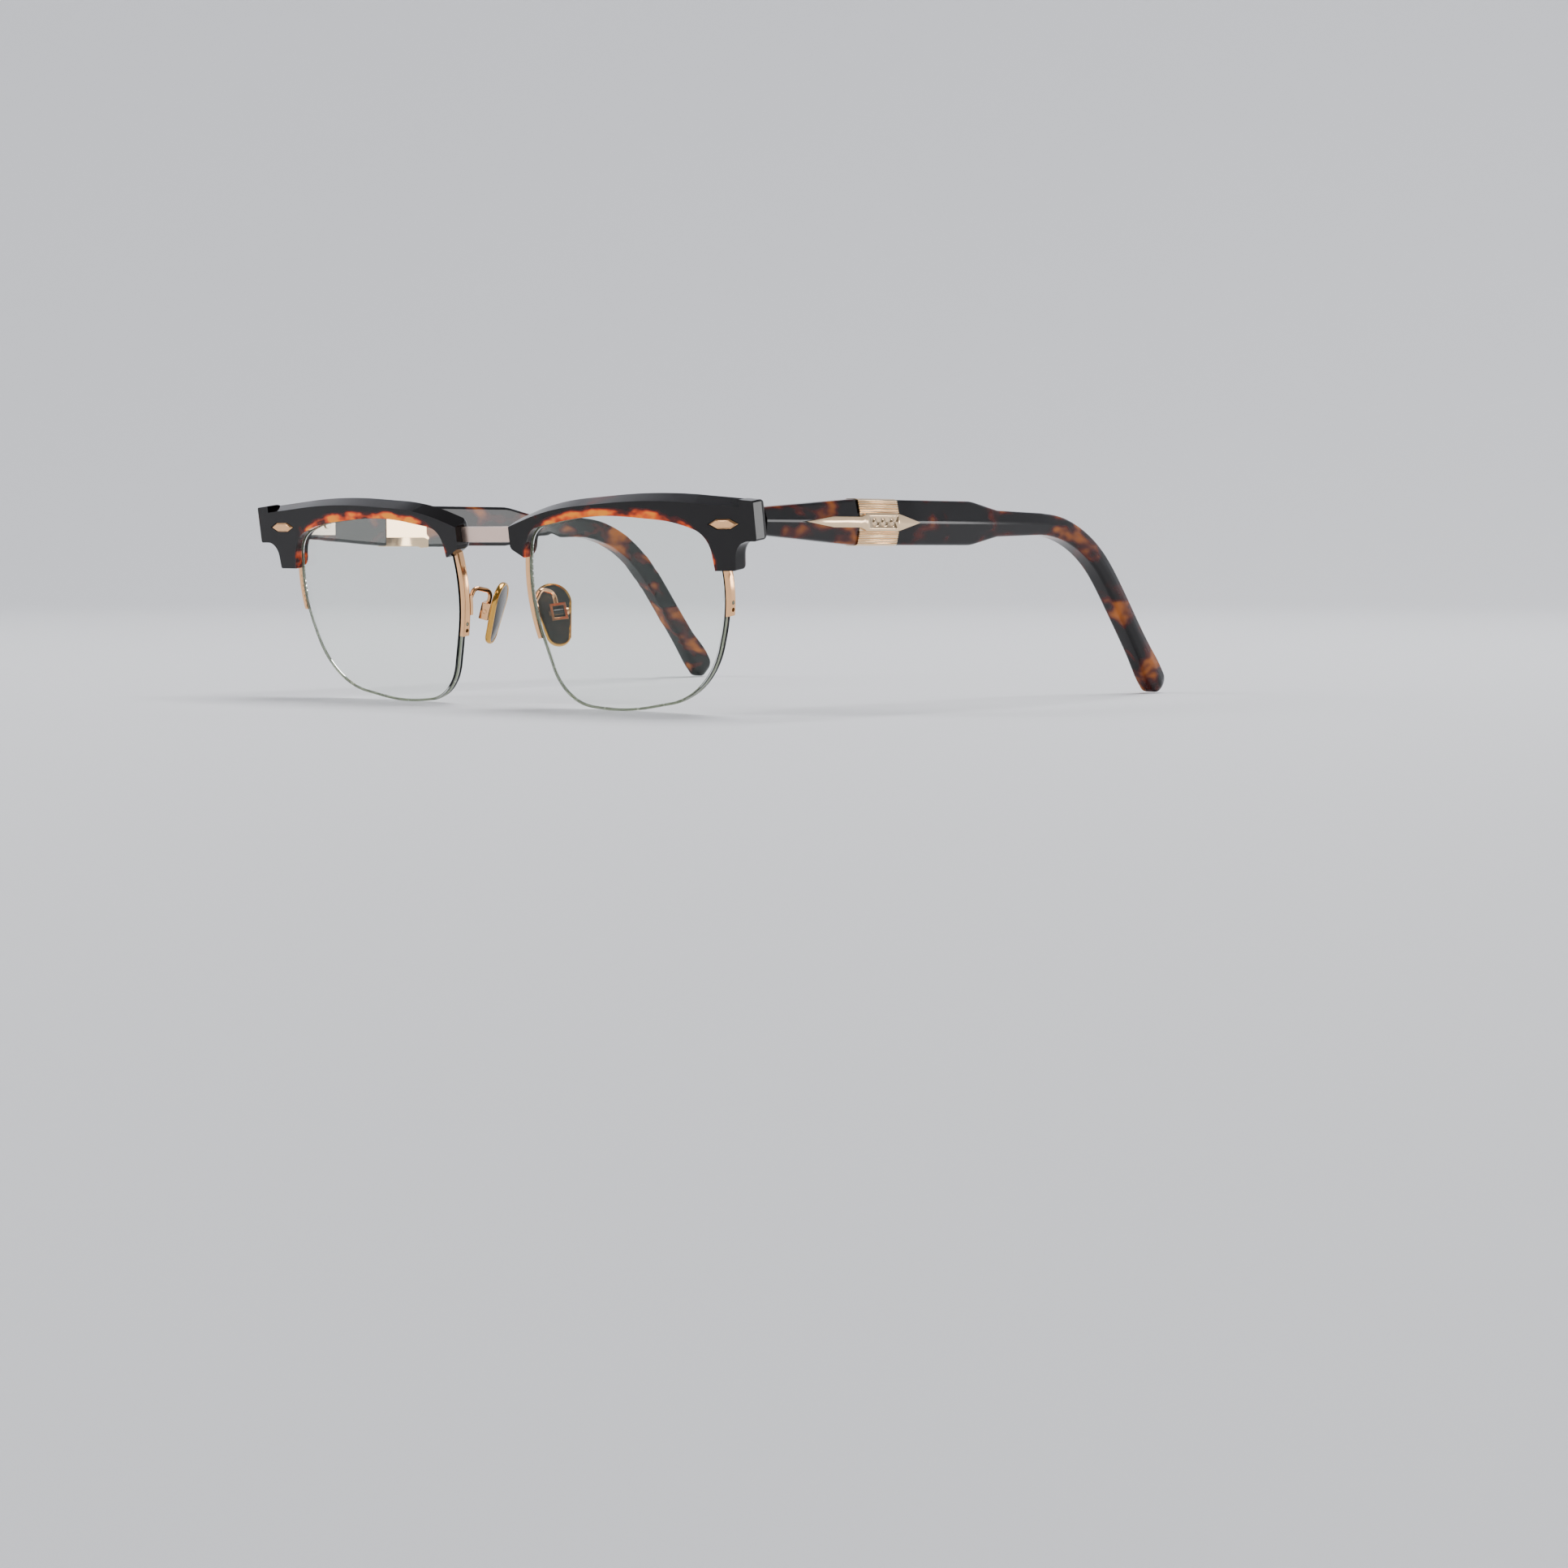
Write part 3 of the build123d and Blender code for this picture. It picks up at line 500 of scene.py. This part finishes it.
def to_piece(made, name, node, finish):
    """Turns a bmesh into a piece that stands for a node, rides on its body and has its slot and finish."""
    mesh = bpy.data.meshes.new(name)
    made.to_mesh(mesh)
    made.free()
    piece = bpy.data.objects.new(name, mesh)
    bpy.context.scene.collection.objects.link(piece)
    mesh.materials.append(finish_named(finish))
    for face in mesh.polygons:
        face.use_smooth = True
    mesh.set_sharp_from_angle(angle=SHARP_ANGLE)
    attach(piece, frame["nodes"][node]["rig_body"])
    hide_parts(node)
    return piece


def soften(piece, width, segments):
    """Rounds a piece's sharp edges to a width in metres."""
    bevel = piece.modifiers.new("rounded_edges", "BEVEL")
    bevel.width = width
    bevel.segments = segments
    bevel.limit_method = "ANGLE"
    bevel.angle_limit = BEVEL_ANGLE
    bevel.miter_outer = "MITER_ARC"
    bevel.use_clamp_overlap = True
    shade = piece.modifiers.new("even_shading", "WEIGHTED_NORMAL")
    shade.keep_sharp = True
    return piece


def rounded(corners, radius, steps):
    """A closed outline through the corners, each turned into a short curve."""
    near_half = 0.48  # of a side, so that the curves at its two ends stay apart
    points = []
    for i, corner in enumerate(corners):
        before, after = corners[i - 1], corners[(i + 1) % len(corners)]
        into, out = (corner - before), (after - corner)
        reach = min(radius, into.length * near_half, out.length * near_half)
        start, end = corner - into.normalized() * reach, corner + out.normalized() * reach
        for k in range(steps + 1):
            t = k / steps
            points.append(start * (1 - t) ** 2 + corner * 2 * t * (1 - t) + end * t**2)
    return points


def resampled(points, count):
    """A closed smooth line through the points, cut into even steps."""
    size = len(points)
    fine = []
    for i in range(size):
        a, b, c, d = (points[(i + k) % size] for k in (-1, 0, 1, 2))
        for t in (0.0, 0.25, 0.5, 0.75):
            turn = (c - a) * t + (a * 2 - b * 5 + c * 4 - d) * t**2 + (b * 3 - a - c * 3 + d) * t**3
            fine.append(b + turn * 0.5)
    runs = [0.0]
    for i in range(len(fine)):
        runs.append(runs[-1] + (fine[(i + 1) % len(fine)] - fine[i]).length)
    even, place = [], 0
    for k in range(count):
        want = runs[-1] * k / count
        while runs[place + 1] < want:
            place += 1
        share = (want - runs[place]) / max(runs[place + 1] - runs[place], 1e-12)
        even.append(fine[place].lerp(fine[(place + 1) % len(fine)], share))
    return even


def skin(made, rings, closed=False):
    """Joins rings of the same number of points with four-sided faces and returns their vertices."""
    loops = [[made.verts.new(point) for point in ring] for ring in rings]
    pairs = list(zip(loops, loops[1:])) + ([(loops[-1], loops[0])] if closed else [])
    for low, high in pairs:
        count = len(low)
        for k in range(count):
            made.faces.new((low[k], low[(k + 1) % count], high[(k + 1) % count], high[k]))
    return loops


def cap(made, loop, centre):
    """Closes a ring with a fan of faces round a middle point."""
    hub = made.verts.new(centre)
    for k in range(len(loop)):
        made.faces.new((hub, loop[k], loop[(k + 1) % len(loop)]))


def middle_of(points):
    """The mean of some points."""
    return sum(points, Vector()) / len(points)


def cut_range(mesh, place, normal, across):
    """Lowest and highest reach, along each direction in across, of a mesh where a plane cuts it."""
    spots = np.empty(len(mesh.vertices) * 3)
    mesh.vertices.foreach_get("co", spots)
    ends = np.empty(len(mesh.edges) * 2, int)
    mesh.edges.foreach_get("vertices", ends)
    spots, ends = spots.reshape(-1, 3), ends.reshape(-1, 2)
    off = (spots - np.array(place)) @ np.array(normal)
    ends = ends[off[ends[:, 0]] * off[ends[:, 1]] < 0]
    if not len(ends):
        return None
    share = off[ends[:, 0]] / (off[ends[:, 0]] - off[ends[:, 1]])
    cut = spots[ends[:, 0]] + (spots[ends[:, 1]] - spots[ends[:, 0]]) * share[:, None] - np.array(place)
    return [((cut @ np.array(way)).min(), (cut @ np.array(way)).max()) for way in across]


def dress(kind, finish, width, segments=2):
    """Makes the finished pieces of one kind of node, with softened edges, on both sides."""
    names = [kind] if kind in frame["nodes"] else [f"{kind}_{side}" for side in SIDES]
    for name in names:
        piece = to_piece(clean_copy(name), f"{name}_finished", name, finish)
        if width:
            soften(piece, width, segments)


# Lenses


def make_lens(node):
    """A slightly bowed lens with a groove round its edge and a fine bevel."""
    look = bpy.context.scene.glasses_clear
    flat = clean_copy(node)
    face = max(flat.faces, key=lambda f: f.calc_area() * (f.normal.y < -0.9))
    front = face.normal.copy()
    outline = resampled([v.co.copy() for v in face.verts], LENS_POINTS)
    depths = [-(v.co - outline[0]).dot(front) for v in flat.verts]
    flat.free()
    thick = max(depths)
    middle = middle_of(outline)
    bevel, lip, wall_slope = 0.12 * MM, 0.36 * thick, 0.08 * MM
    profile = [(bevel, 0.0), (0.0, bevel), (0.0, lip), (look.groove, lip + wall_slope)]
    profile += [(inset, thick - depth) for inset, depth in reversed(profile)]
    outward = []
    for i, point in enumerate(outline):
        along = outline[(i + 1) % len(outline)] - outline[i - 1]
        normal = along.cross(front).normalized()
        outward.append(normal if normal.dot(point - middle) > 0 else -normal)
    steps = 14
    shares = [k / steps for k in range(1, steps)]
    edge = [p - o * bevel for p, o in zip(outline, outward)]
    rings = [bowed(edge, middle, share, front, 0.0, look.lens_bow) for share in shares]
    for inset, depth in profile:
        rings.append([p - o * inset - front * depth for p, o in zip(outline, outward)])
    rings += [bowed(edge, middle, share, front, thick, look.lens_bow) for share in reversed(shares)]
    made = bmesh.new()
    loops = skin(made, rings)
    cap(made, loops[0], middle + front * look.lens_bow)
    cap(made, loops[-1], middle + front * (look.lens_bow - thick))
    bmesh.ops.recalc_face_normals(made, faces=made.faces)
    return to_piece(made, f"{node}_finished", node, "coated_lens_plastic")


def bowed(outline, middle, share, front, depth, bow):
    """The outline drawn in towards its middle, raised by the lens's bow."""
    rise = front * (bow * (1 - share**2) - depth)
    return [middle + (point - middle) * share + rise for point in outline]


# Temples and cuffs


def temple_ring(place, up, low, high, inner, outer, ridge, grow=0.0):
    """One section of a temple: flat inside, two faces outside that meet at a ridge."""
    look = bpy.context.scene.glasses_temple
    side = Vector((math.copysign(1.0, outer), 0.0, 0.0))
    inner, outer, middle = abs(inner) - grow, abs(outer) + grow, (low + high) / 2
    low, high, edge = low - grow, high + grow, outer - ridge
    corners = [(inner, low), (inner, high), (edge, high), (outer, middle), (edge, low)]
    corners = [Vector((0.0, place.y, place.z)) + side * x + up * z for x, z in corners]
    return rounded(corners, min(look.edge, (high - low) / 5), 4)


def temple_stations(node):
    """Places and tangents down the middle of a temple: straight, round the bend, and along the tip."""
    look = bpy.context.scene.glasses_temple
    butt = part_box(node)[0].y
    start = butt - BUTT_OVERRUN
    line = FOLD[2]
    stations = []
    count = int((look.bend_start - butt) / STATION_STEP) + 2  # two more for the overrun
    for k in range(count):
        y = start + (look.bend_start - start) * k / count
        stations.append((Vector((0.0, y, line)), Vector((0.0, 1.0, 0.0))))
    turns = 26
    for k in range(turns + 1):
        turn = look.bend_angle * k / turns
        place = Vector((0.0, look.bend_start, line - look.bend_radius))
        place += Vector((0.0, math.sin(turn), math.cos(turn))) * look.bend_radius
        stations.append((place, Vector((0.0, math.cos(turn), -math.sin(turn)))))
    place, along = stations[-1]
    run = max((v.co - place).dot(along) for v in frame["nodes"][node].data.vertices)
    count = int(run / STATION_STEP)
    stations += [(place + along * run * k / count, along) for k in range(1, count)]
    return stations, place + along * run, along


def make_temple(node):
    """Acetate temple: sections every millimetre or two down its length, a round tip and a flat butt."""
    look = bpy.context.scene.glasses_temple
    mesh = frame["nodes"][node].data
    stations, tip, along = temple_stations(node)
    rings = []
    for place, way in stations:
        if way == along and (tip - place).dot(along) <= TIP_LENGTH:
            continue
        up = Vector((0.0, -way.z, way.y))
        found = cut_range(mesh, place, way, (up, (1.0, 0.0, 0.0))) or first_range(mesh, node)
        (low, high), (left, right) = found
        inner, outer = (left, right) if right > 0 else (right, left)
        ridge = look.ridge * (high - low) / look.broad
        rings.append(temple_ring(place, up, low, high, inner, outer, ridge))
    width = (abs(inner) + abs(outer)) / 2
    steps, smallest = 7, 0.12
    for k in range(steps + 1):
        turn = math.pi / 2 * k / steps
        size = max(math.cos(turn), smallest)
        place = tip - along * TIP_LENGTH * (1 - math.sin(turn))
        drawn = temple_ring(place, up, low * size, high * size, inner, outer, ridge * size)
        middle = math.copysign(width, outer)
        rings.append([Vector((middle + (p.x - middle) * size**0.5, p.y, p.z)) for p in drawn])
    made = bmesh.new()
    loops = skin(made, rings)
    cap(made, loops[0], middle_of(rings[0]))
    cap(made, loops[-1], middle_of(rings[-1]))
    cut_butt(made, mesh)
    bmesh.ops.recalc_face_normals(made, faces=made.faces)
    return soften(to_piece(made, f"{node}_finished", node, "temple_tortoiseshell"), 0.25 * MM, 3)


def first_range(mesh, node):
    """The temple's reach just behind its butt face, used ahead of it."""
    place = Vector((0.0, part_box(node)[0].y + BUTT_SAMPLE, FOLD[2]))
    return cut_range(mesh, place, (0.0, 1.0, 0.0), ((0.0, 0.0, 1.0), (1.0, 0.0, 0.0)))


def cut_butt(made, mesh):
    """Cuts a temple off along its CAD butt face and closes it."""
    butt = max(mesh.polygons, key=lambda f: f.area * (f.normal.y < -0.9))
    cut = bmesh.ops.bisect_plane(
        made,
        geom=made.verts[:] + made.edges[:] + made.faces[:],
        plane_co=butt.center,
        plane_no=butt.normal,
        clear_outer=True,
    )
    edges = [item for item in cut["geom_cut"] if isinstance(item, bmesh.types.BMEdge)]
    bmesh.ops.edgeloop_fill(made, edges=edges)


def make_cuff(node):
    """Metal sleeve with rounded ribs above and below the plate."""
    look = bpy.context.scene.glasses_temple
    plate_low, plate_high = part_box(node.replace("cuff", "plaque"))
    low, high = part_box(node)
    line = (plate_low.z + plate_high.z) / 2
    past_cuff, plate_margin = 2 * MM, 0.15 * MM  # to where the temple is measured, and above the plate
    rib_power = 0.7  # below 1, so that a rib is fuller than a sine wave
    place = Vector((0.0, high.y + past_cuff, line))
    ways = ((0.0, 0.0, 1.0), (1.0, 0.0, 0.0))
    mesh = frame["nodes"][node.replace("cuff", "temple")].data
    (bottom, top), (left, right) = cut_range(mesh, place, (0.0, 1.0, 0.0), ways)
    inner, outer = (left, right) if right > 0 else (right, left)
    centre = (abs(inner) + abs(outer)) / 2
    up = Vector((0.0, 0.0, 1.0))
    fit = 0.02 * MM
    wall = (high.z - low.z - (top - bottom)) / 2 - look.rib
    ring = temple_ring(place, up, bottom, top, inner, outer, look.ridge, wall)
    hollow = resampled(temple_ring(place, up, bottom, top, inner, outer, look.ridge, fit), CUFF_POINTS)
    plain = (plate_high.z - plate_low.z) / 2 + plate_margin
    pitch = ((top - bottom) / 2 - plain) / look.ribs
    ribbed = []
    for point in resampled(ring, CUFF_POINTS):
        height = abs(point.z - line) - plain
        if abs(point.x) > centre and 0 < height < pitch * look.ribs:
            lift = look.rib * abs(math.sin(math.pi * height / pitch)) ** rib_power
            point = point + Vector((math.copysign(lift, outer), 0.0, 0.0))
        ribbed.append(point)
    edge = 0.1 * MM
    middle = Vector((math.copysign(centre, outer), 0.0, line))
    rings = []
    for y, drawn in ((low.y, edge), (low.y + edge, 0.0), (high.y - edge, 0.0), (high.y, edge)):
        ring = []
        for point in ends_at(ribbed, y):
            off = Vector((point.x - middle.x, 0.0, point.z - middle.z)).normalized()
            ring.append(point - off * drawn)
        rings.append(ring)
    rings += [ends_at(hollow, y) for y in (high.y, low.y)]
    made = bmesh.new()
    skin(made, rings, closed=True)
    bmesh.ops.recalc_face_normals(made, faces=made.faces)
    return to_piece(made, f"{node}_finished", node, "polished_pale_gold")


def ends_at(points, y):
    """The same outline at another distance along the temple."""
    return [Vector((point.x, y, point.z)) for point in points]


# Nose pads


def pad_axes(node):
    """Middle, width, length and face directions of a pad, from the spread of its ring's points."""
    spots = np.array([v.co for v in frame["nodes"][node].data.vertices])
    _, ways = np.linalg.eigh(np.cov((spots - spots.mean(0)).T))
    face, width, length = (Vector(ways[:, k]) for k in range(3))
    length = length if length.z > 0 else -length
    face = face if face.x * spots.mean(0)[0] > 0 else -face
    width = length.cross(face)
    axes = (width, length, face)
    reach = [((spots @ np.array(way)).min(), (spots @ np.array(way)).max()) for way in axes]
    middle = sum((way * (low + high) / 2 for way, (low, high) in zip(axes, reach)), Vector())
    return middle, axes, [high - low for low, high in reach]


def egg(node, inset, count=72):
    """Points round a pad, and its face direction: a wide arc above, a narrow one below, and tangents."""
    look = bpy.context.scene.glasses_clear
    middle, (width, length, face), (wide, tall, _) = pad_axes(node)
    top, bottom = wide / 2, look.pad_toe
    apart = tall - top - bottom
    lean = math.asin((top - bottom) / apart)
    points = []
    for k in range(count):
        turn = -lean + math.tau * k / count
        out = width * math.cos(turn) + length * math.sin(turn)
        upper = math.sin(turn) > -math.sin(lean) - 1e-9
        centre = tall / 2 - top if upper else bottom - tall / 2
        reach = (top if upper else bottom) - inset
        points.append(middle + length * centre + out * reach)
    return points, face


def make_bezel(node):
    """Round wire ring bent to the pad's outline."""
    half_wall, half_depth = 0.32 * MM, 0.6 * MM
    points, face = egg(node, half_wall)
    made = bmesh.new()
    sides = 14
    rings = []
    for point, out in even_egg(points):
        ring = []
        for k in range(sides):
            turn = math.tau * k / sides
            ring.append(point + out * half_wall * math.cos(turn) + face * half_depth * math.sin(turn))
        rings.append(ring)
    skin(made, rings, closed=True)
    bmesh.ops.recalc_face_normals(made, faces=made.faces)
    return to_piece(made, f"{node}_finished", node, "polished_pad_gold")


def even_egg(points):
    """The egg's points at even steps, each with its outward direction."""
    even = resampled(points, PAD_POINTS)
    middle = middle_of(even)
    pairs = []
    plane = (even[0] - middle).cross(even[PAD_POINTS // 4] - middle).normalized()
    for i, point in enumerate(even):
        along = even[(i + 1) % len(even)] - even[i - 1]
        out = along.cross(plane).normalized()
        pairs.append((point, out if out.dot(point - middle) > 0 else -out))
    return pairs


def make_pad(node):
    """Pad with a domed face towards the nose, a nearly flat back, and the lug that turns in the box."""
    look = bpy.context.scene.glasses_clear
    inset, half, steps = 0.5 * MM, 0.42 * MM, 9
    dome_power = 0.8  # below 1, so that the dome falls off nearer its edge
    points, face = egg(node.replace("nose_pad", "pad_bezel"), inset)
    outline = resampled(points, PAD_POINTS)
    middle = middle_of(outline)
    shares = [k / steps for k in range(1, steps + 1)]
    rings = []
    for side, crown, order in ((1, look.pad_back, shares), (-1, look.pad_crown, shares[::-1])):
        for share in order:
            lift = face * side * (half + crown * (1 - share**2) ** dome_power)
            rings.append([middle + (point - middle) * share + lift for point in outline])
    made = clean_copy(node)
    loops = skin(made, rings)
    cap(made, loops[0], middle + face * (half + look.pad_back))
    cap(made, loops[-1], middle - face * (half + look.pad_crown))
    bmesh.ops.recalc_face_normals(made, faces=made.faces)
    return soften(to_piece(made, f"{node}_finished", node, "moulded_smoke_pad"), 0.12 * MM, 2)


# Operators


class GLASSES_OT_studio(bpy.types.Operator):
    """Makes the cove, the lights and the camera"""

    bl_idname = "glasses.studio"
    bl_label = "Studio"

    def execute(self, context):
        look = context.scene.glasses_studio
        make_cove()
        make_lights()
        make_camera(look)
        return {"FINISHED"}


def make_cove():
    """Round floor that sweeps up into a wall behind the glasses and stays flat in front of them."""
    look = bpy.context.scene.glasses_studio
    floor_reach, sweep, wall_top, lip = 1.1, 0.5, 1.1, 0.001
    turn_in, wall_start = 2.0, 0.6  # how fast, and how far round, the wall rises out of the floor
    bends, sides = 14, 72
    made = bmesh.new()
    hub = made.verts.new((0.0, 0.0, 0.0))
    rows = []
    for k in range(sides):
        turn = math.tau * k / sides
        way = Vector((math.cos(turn), math.sin(turn), 0.0))
        behind = -way.dot(Vector((math.sin(look.azimuth), -math.cos(look.azimuth), 0.0)))
        rise = min(max(behind * turn_in + wall_start, 0.0), 1.0)
        row = [way * floor_reach * share for share in (0.3, 0.7, 1.0)]
        for i in range(1, bends + 1):
            bend = math.pi / 2 * i / bends
            up = Vector((0.0, 0.0, sweep * (1 - math.cos(bend)) * rise))
            row.append(way * (floor_reach + sweep * math.sin(bend)) + up)
        row.append(row[-1] + Vector((0.0, 0.0, wall_top * rise + lip)))
        rows.append([made.verts.new(point) for point in row])
    for k in range(sides):
        row, after = rows[k], rows[(k + 1) % sides]
        made.faces.new((hub, row[0], after[0]))
        for i in range(len(row) - 1):
            made.faces.new((row[i], row[i + 1], after[i + 1], after[i]))
    bmesh.ops.recalc_face_normals(made, faces=made.faces)
    mesh = bpy.data.meshes.new("studio_cove")
    made.to_mesh(mesh)
    made.free()
    for face in mesh.polygons:
        face.use_smooth = True
    cove = bpy.data.objects.new("studio_cove", mesh)
    bpy.context.scene.collection.objects.link(cove)
    mesh.materials.append(finish_named("matt_studio_paint"))


def make_lights():
    """Soft boxes and an even sky."""
    world = bpy.data.worlds.new("soft_sky")
    bpy.context.scene.world = world
    world.use_nodes = True
    sky = world.node_tree.nodes["Background"]
    sky.inputs["Color"].default_value = linear("#E9ECF2")
    sky.inputs["Strength"].default_value = 0.25
    boxes = (
        ("overhead", (0.1, 0.5, 1.4), (0.0, 0.1, 0.0), 1.2, 0.9, 30.0),
        ("front_left", (-1.0, -1.2, 0.9), (0.0, 0.0, 0.0), 0.5, 0.8, 16.0),
        ("side_strip", (0.58, 0.54, 0.07), (0.07, -0.06, 0.035), 0.18, 0.14, 0.5),
    )
    for name, place, aim, width, height, power in boxes:
        light = bpy.data.lights.new(name, "AREA")
        light.shape = "RECTANGLE"
        light.size, light.size_y = width, height
        light.energy = power
        lamp = bpy.data.objects.new(name, light)
        bpy.context.scene.collection.objects.link(lamp)
        lamp.location = place
        lamp.rotation_euler = (Vector(aim) - Vector(place)).to_track_quat("-Z", "Y").to_euler()


def make_camera(look):
    """Camera a little above the glasses' height, well round to the wearer's left."""
    cos_up, sin_up = math.cos(look.elevation), math.sin(look.elevation)
    cos_round, sin_round = math.cos(look.azimuth), math.sin(look.azimuth)
    back = Vector((sin_round * cos_up, -cos_round * cos_up, sin_up))
    right = Vector((cos_round, sin_round, 0.0))
    up = back.cross(right)
    data = bpy.data.cameras.new("camera")
    data.lens = look.lens
    data.sensor_width = 36.0
    data.clip_start = 0.01
    camera = bpy.data.objects.new("camera", data)
    bpy.context.scene.collection.objects.link(camera)
    turn = Matrix((right, up, back)).transposed().to_4x4()
    camera.matrix_world = Matrix.Translation(CAMERA_PLACE) @ turn
    bpy.context.scene.camera = camera


class GLASSES_OT_brows(bpy.types.Operator):
    """Makes the acetate brow bars with their rounded edges"""

    bl_idname = "glasses.brows"
    bl_label = "Brow bars"

    def execute(self, context):
        dress("brow", "brow_tortoiseshell", 0.3 * MM, 3)
        dress("brow_screws", "turned_nickel_silver", 0.06 * MM)
        dress("front_pin", "polished_rose_gold", 0.03 * MM)
        return {"FINISHED"}


class GLASSES_OT_rims(bpy.types.Operator):
    """Makes the half rims, the bridge, the lenses and their cords"""

    bl_idname = "glasses.rims"
    bl_label = "Rims, bridge and lenses"

    def execute(self, context):
        dress("rim", "polished_rose_gold", 0.0)
        dress("bridge", "satin_rose_gold", 0.25 * MM, 3)
        for side in SIDES:
            make_lens(f"lens_{side}")
        dress("lens_cord", "drawn_nylon", 0.0)
        dress("rim_liner", "drawn_nylon", 0.0)
        return {"FINISHED"}


class GLASSES_OT_pads(bpy.types.Operator):
    """Makes the nose pads and their mounts"""

    bl_idname = "glasses.pads"
    bl_label = "Nose pads"

    def execute(self, context):
        for side in SIDES:
            make_pad(f"nose_pad_{side}")
            make_bezel(f"pad_bezel_{side}")
        dress("pad_box", "polished_rose_gold", 0.15 * MM)
        dress("pad_screw", "polished_rose_gold", 0.06 * MM)
        dress("pad_arm", "polished_rose_gold", 0.1 * MM)
        return {"FINISHED"}


class GLASSES_OT_hinges(bpy.types.Operator):
    """Makes the hinges"""

    bl_idname = "glasses.hinges"
    bl_label = "Hinges"

    def execute(self, context):
        dress("hinge_front_leaf", "turned_nickel_silver", 0.1 * MM)
        dress("hinge_temple_leaf", "turned_nickel_silver", 0.1 * MM)
        dress("hinge_screw", "turned_nickel_silver", 0.08 * MM)
        dress("hinge_rivets", "turned_nickel_silver", 0.08 * MM)
        return {"FINISHED"}


class GLASSES_OT_temples(bpy.types.Operator):
    """Makes the temples with their cores, cuffs and plates"""

    bl_idname = "glasses.temples"
    bl_label = "Temples"

    def execute(self, context):
        for side in SIDES:
            make_temple(f"temple_{side}")
            make_cuff(f"cuff_{side}")
            node = f"plaque_{side}"
            to_piece(welded_copy(node), f"{node}_finished", node, "polished_pale_gold")
        dress("temple_core", "turned_nickel_silver", 0.0)
        return {"FINISHED"}


OPERATORS = (
    GLASSES_OT_studio,
    GLASSES_OT_brows,
    GLASSES_OT_rims,
    GLASSES_OT_pads,
    GLASSES_OT_hinges,
    GLASSES_OT_temples,
)


class GLASSES_PT_panel(bpy.types.Panel):
    """Lists the pieces in the order they are made"""

    bl_idname = "GLASSES_PT_panel"
    bl_label = "Eyeglasses"
    bl_space_type = "VIEW_3D"
    bl_region_type = "UI"
    bl_category = "Eyeglasses"

    def draw(self, context):
        for operator in OPERATORS:
            self.layout.operator(operator.bl_idname)
        for name in SETTINGS:
            group = getattr(context.scene, name)
            box = self.layout.box()
            for key in group.__annotations__:
                box.prop(group, key)


SETTINGS = {
    "glasses_acetate": AcetateSettings,
    "glasses_metal": MetalSettings,
    "glasses_clear": ClearSettings,
    "glasses_temple": TempleSettings,
    "glasses_studio": StudioSettings,
}


def register():
    """Registers the classes and hangs the settings on the scene."""
    for name, group in SETTINGS.items():
        bpy.utils.register_class(group)
        setattr(bpy.types.Scene, name, bpy.props.PointerProperty(type=group))
    for item in (*OPERATORS, GLASSES_PT_panel):
        bpy.utils.register_class(item)


def unregister():
    """Takes away what register added."""
    for item in (GLASSES_PT_panel, *reversed(OPERATORS)):
        bpy.utils.unregister_class(item)
    for name, group in SETTINGS.items():
        delattr(bpy.types.Scene, name)
        bpy.utils.unregister_class(group)


def main():
    """Makes everything in order."""
    register()
    for operator in OPERATORS:
        group, name = operator.bl_idname.split(".")
        getattr(getattr(bpy.ops, group), name)()


if __name__ == "__main__":
    main()
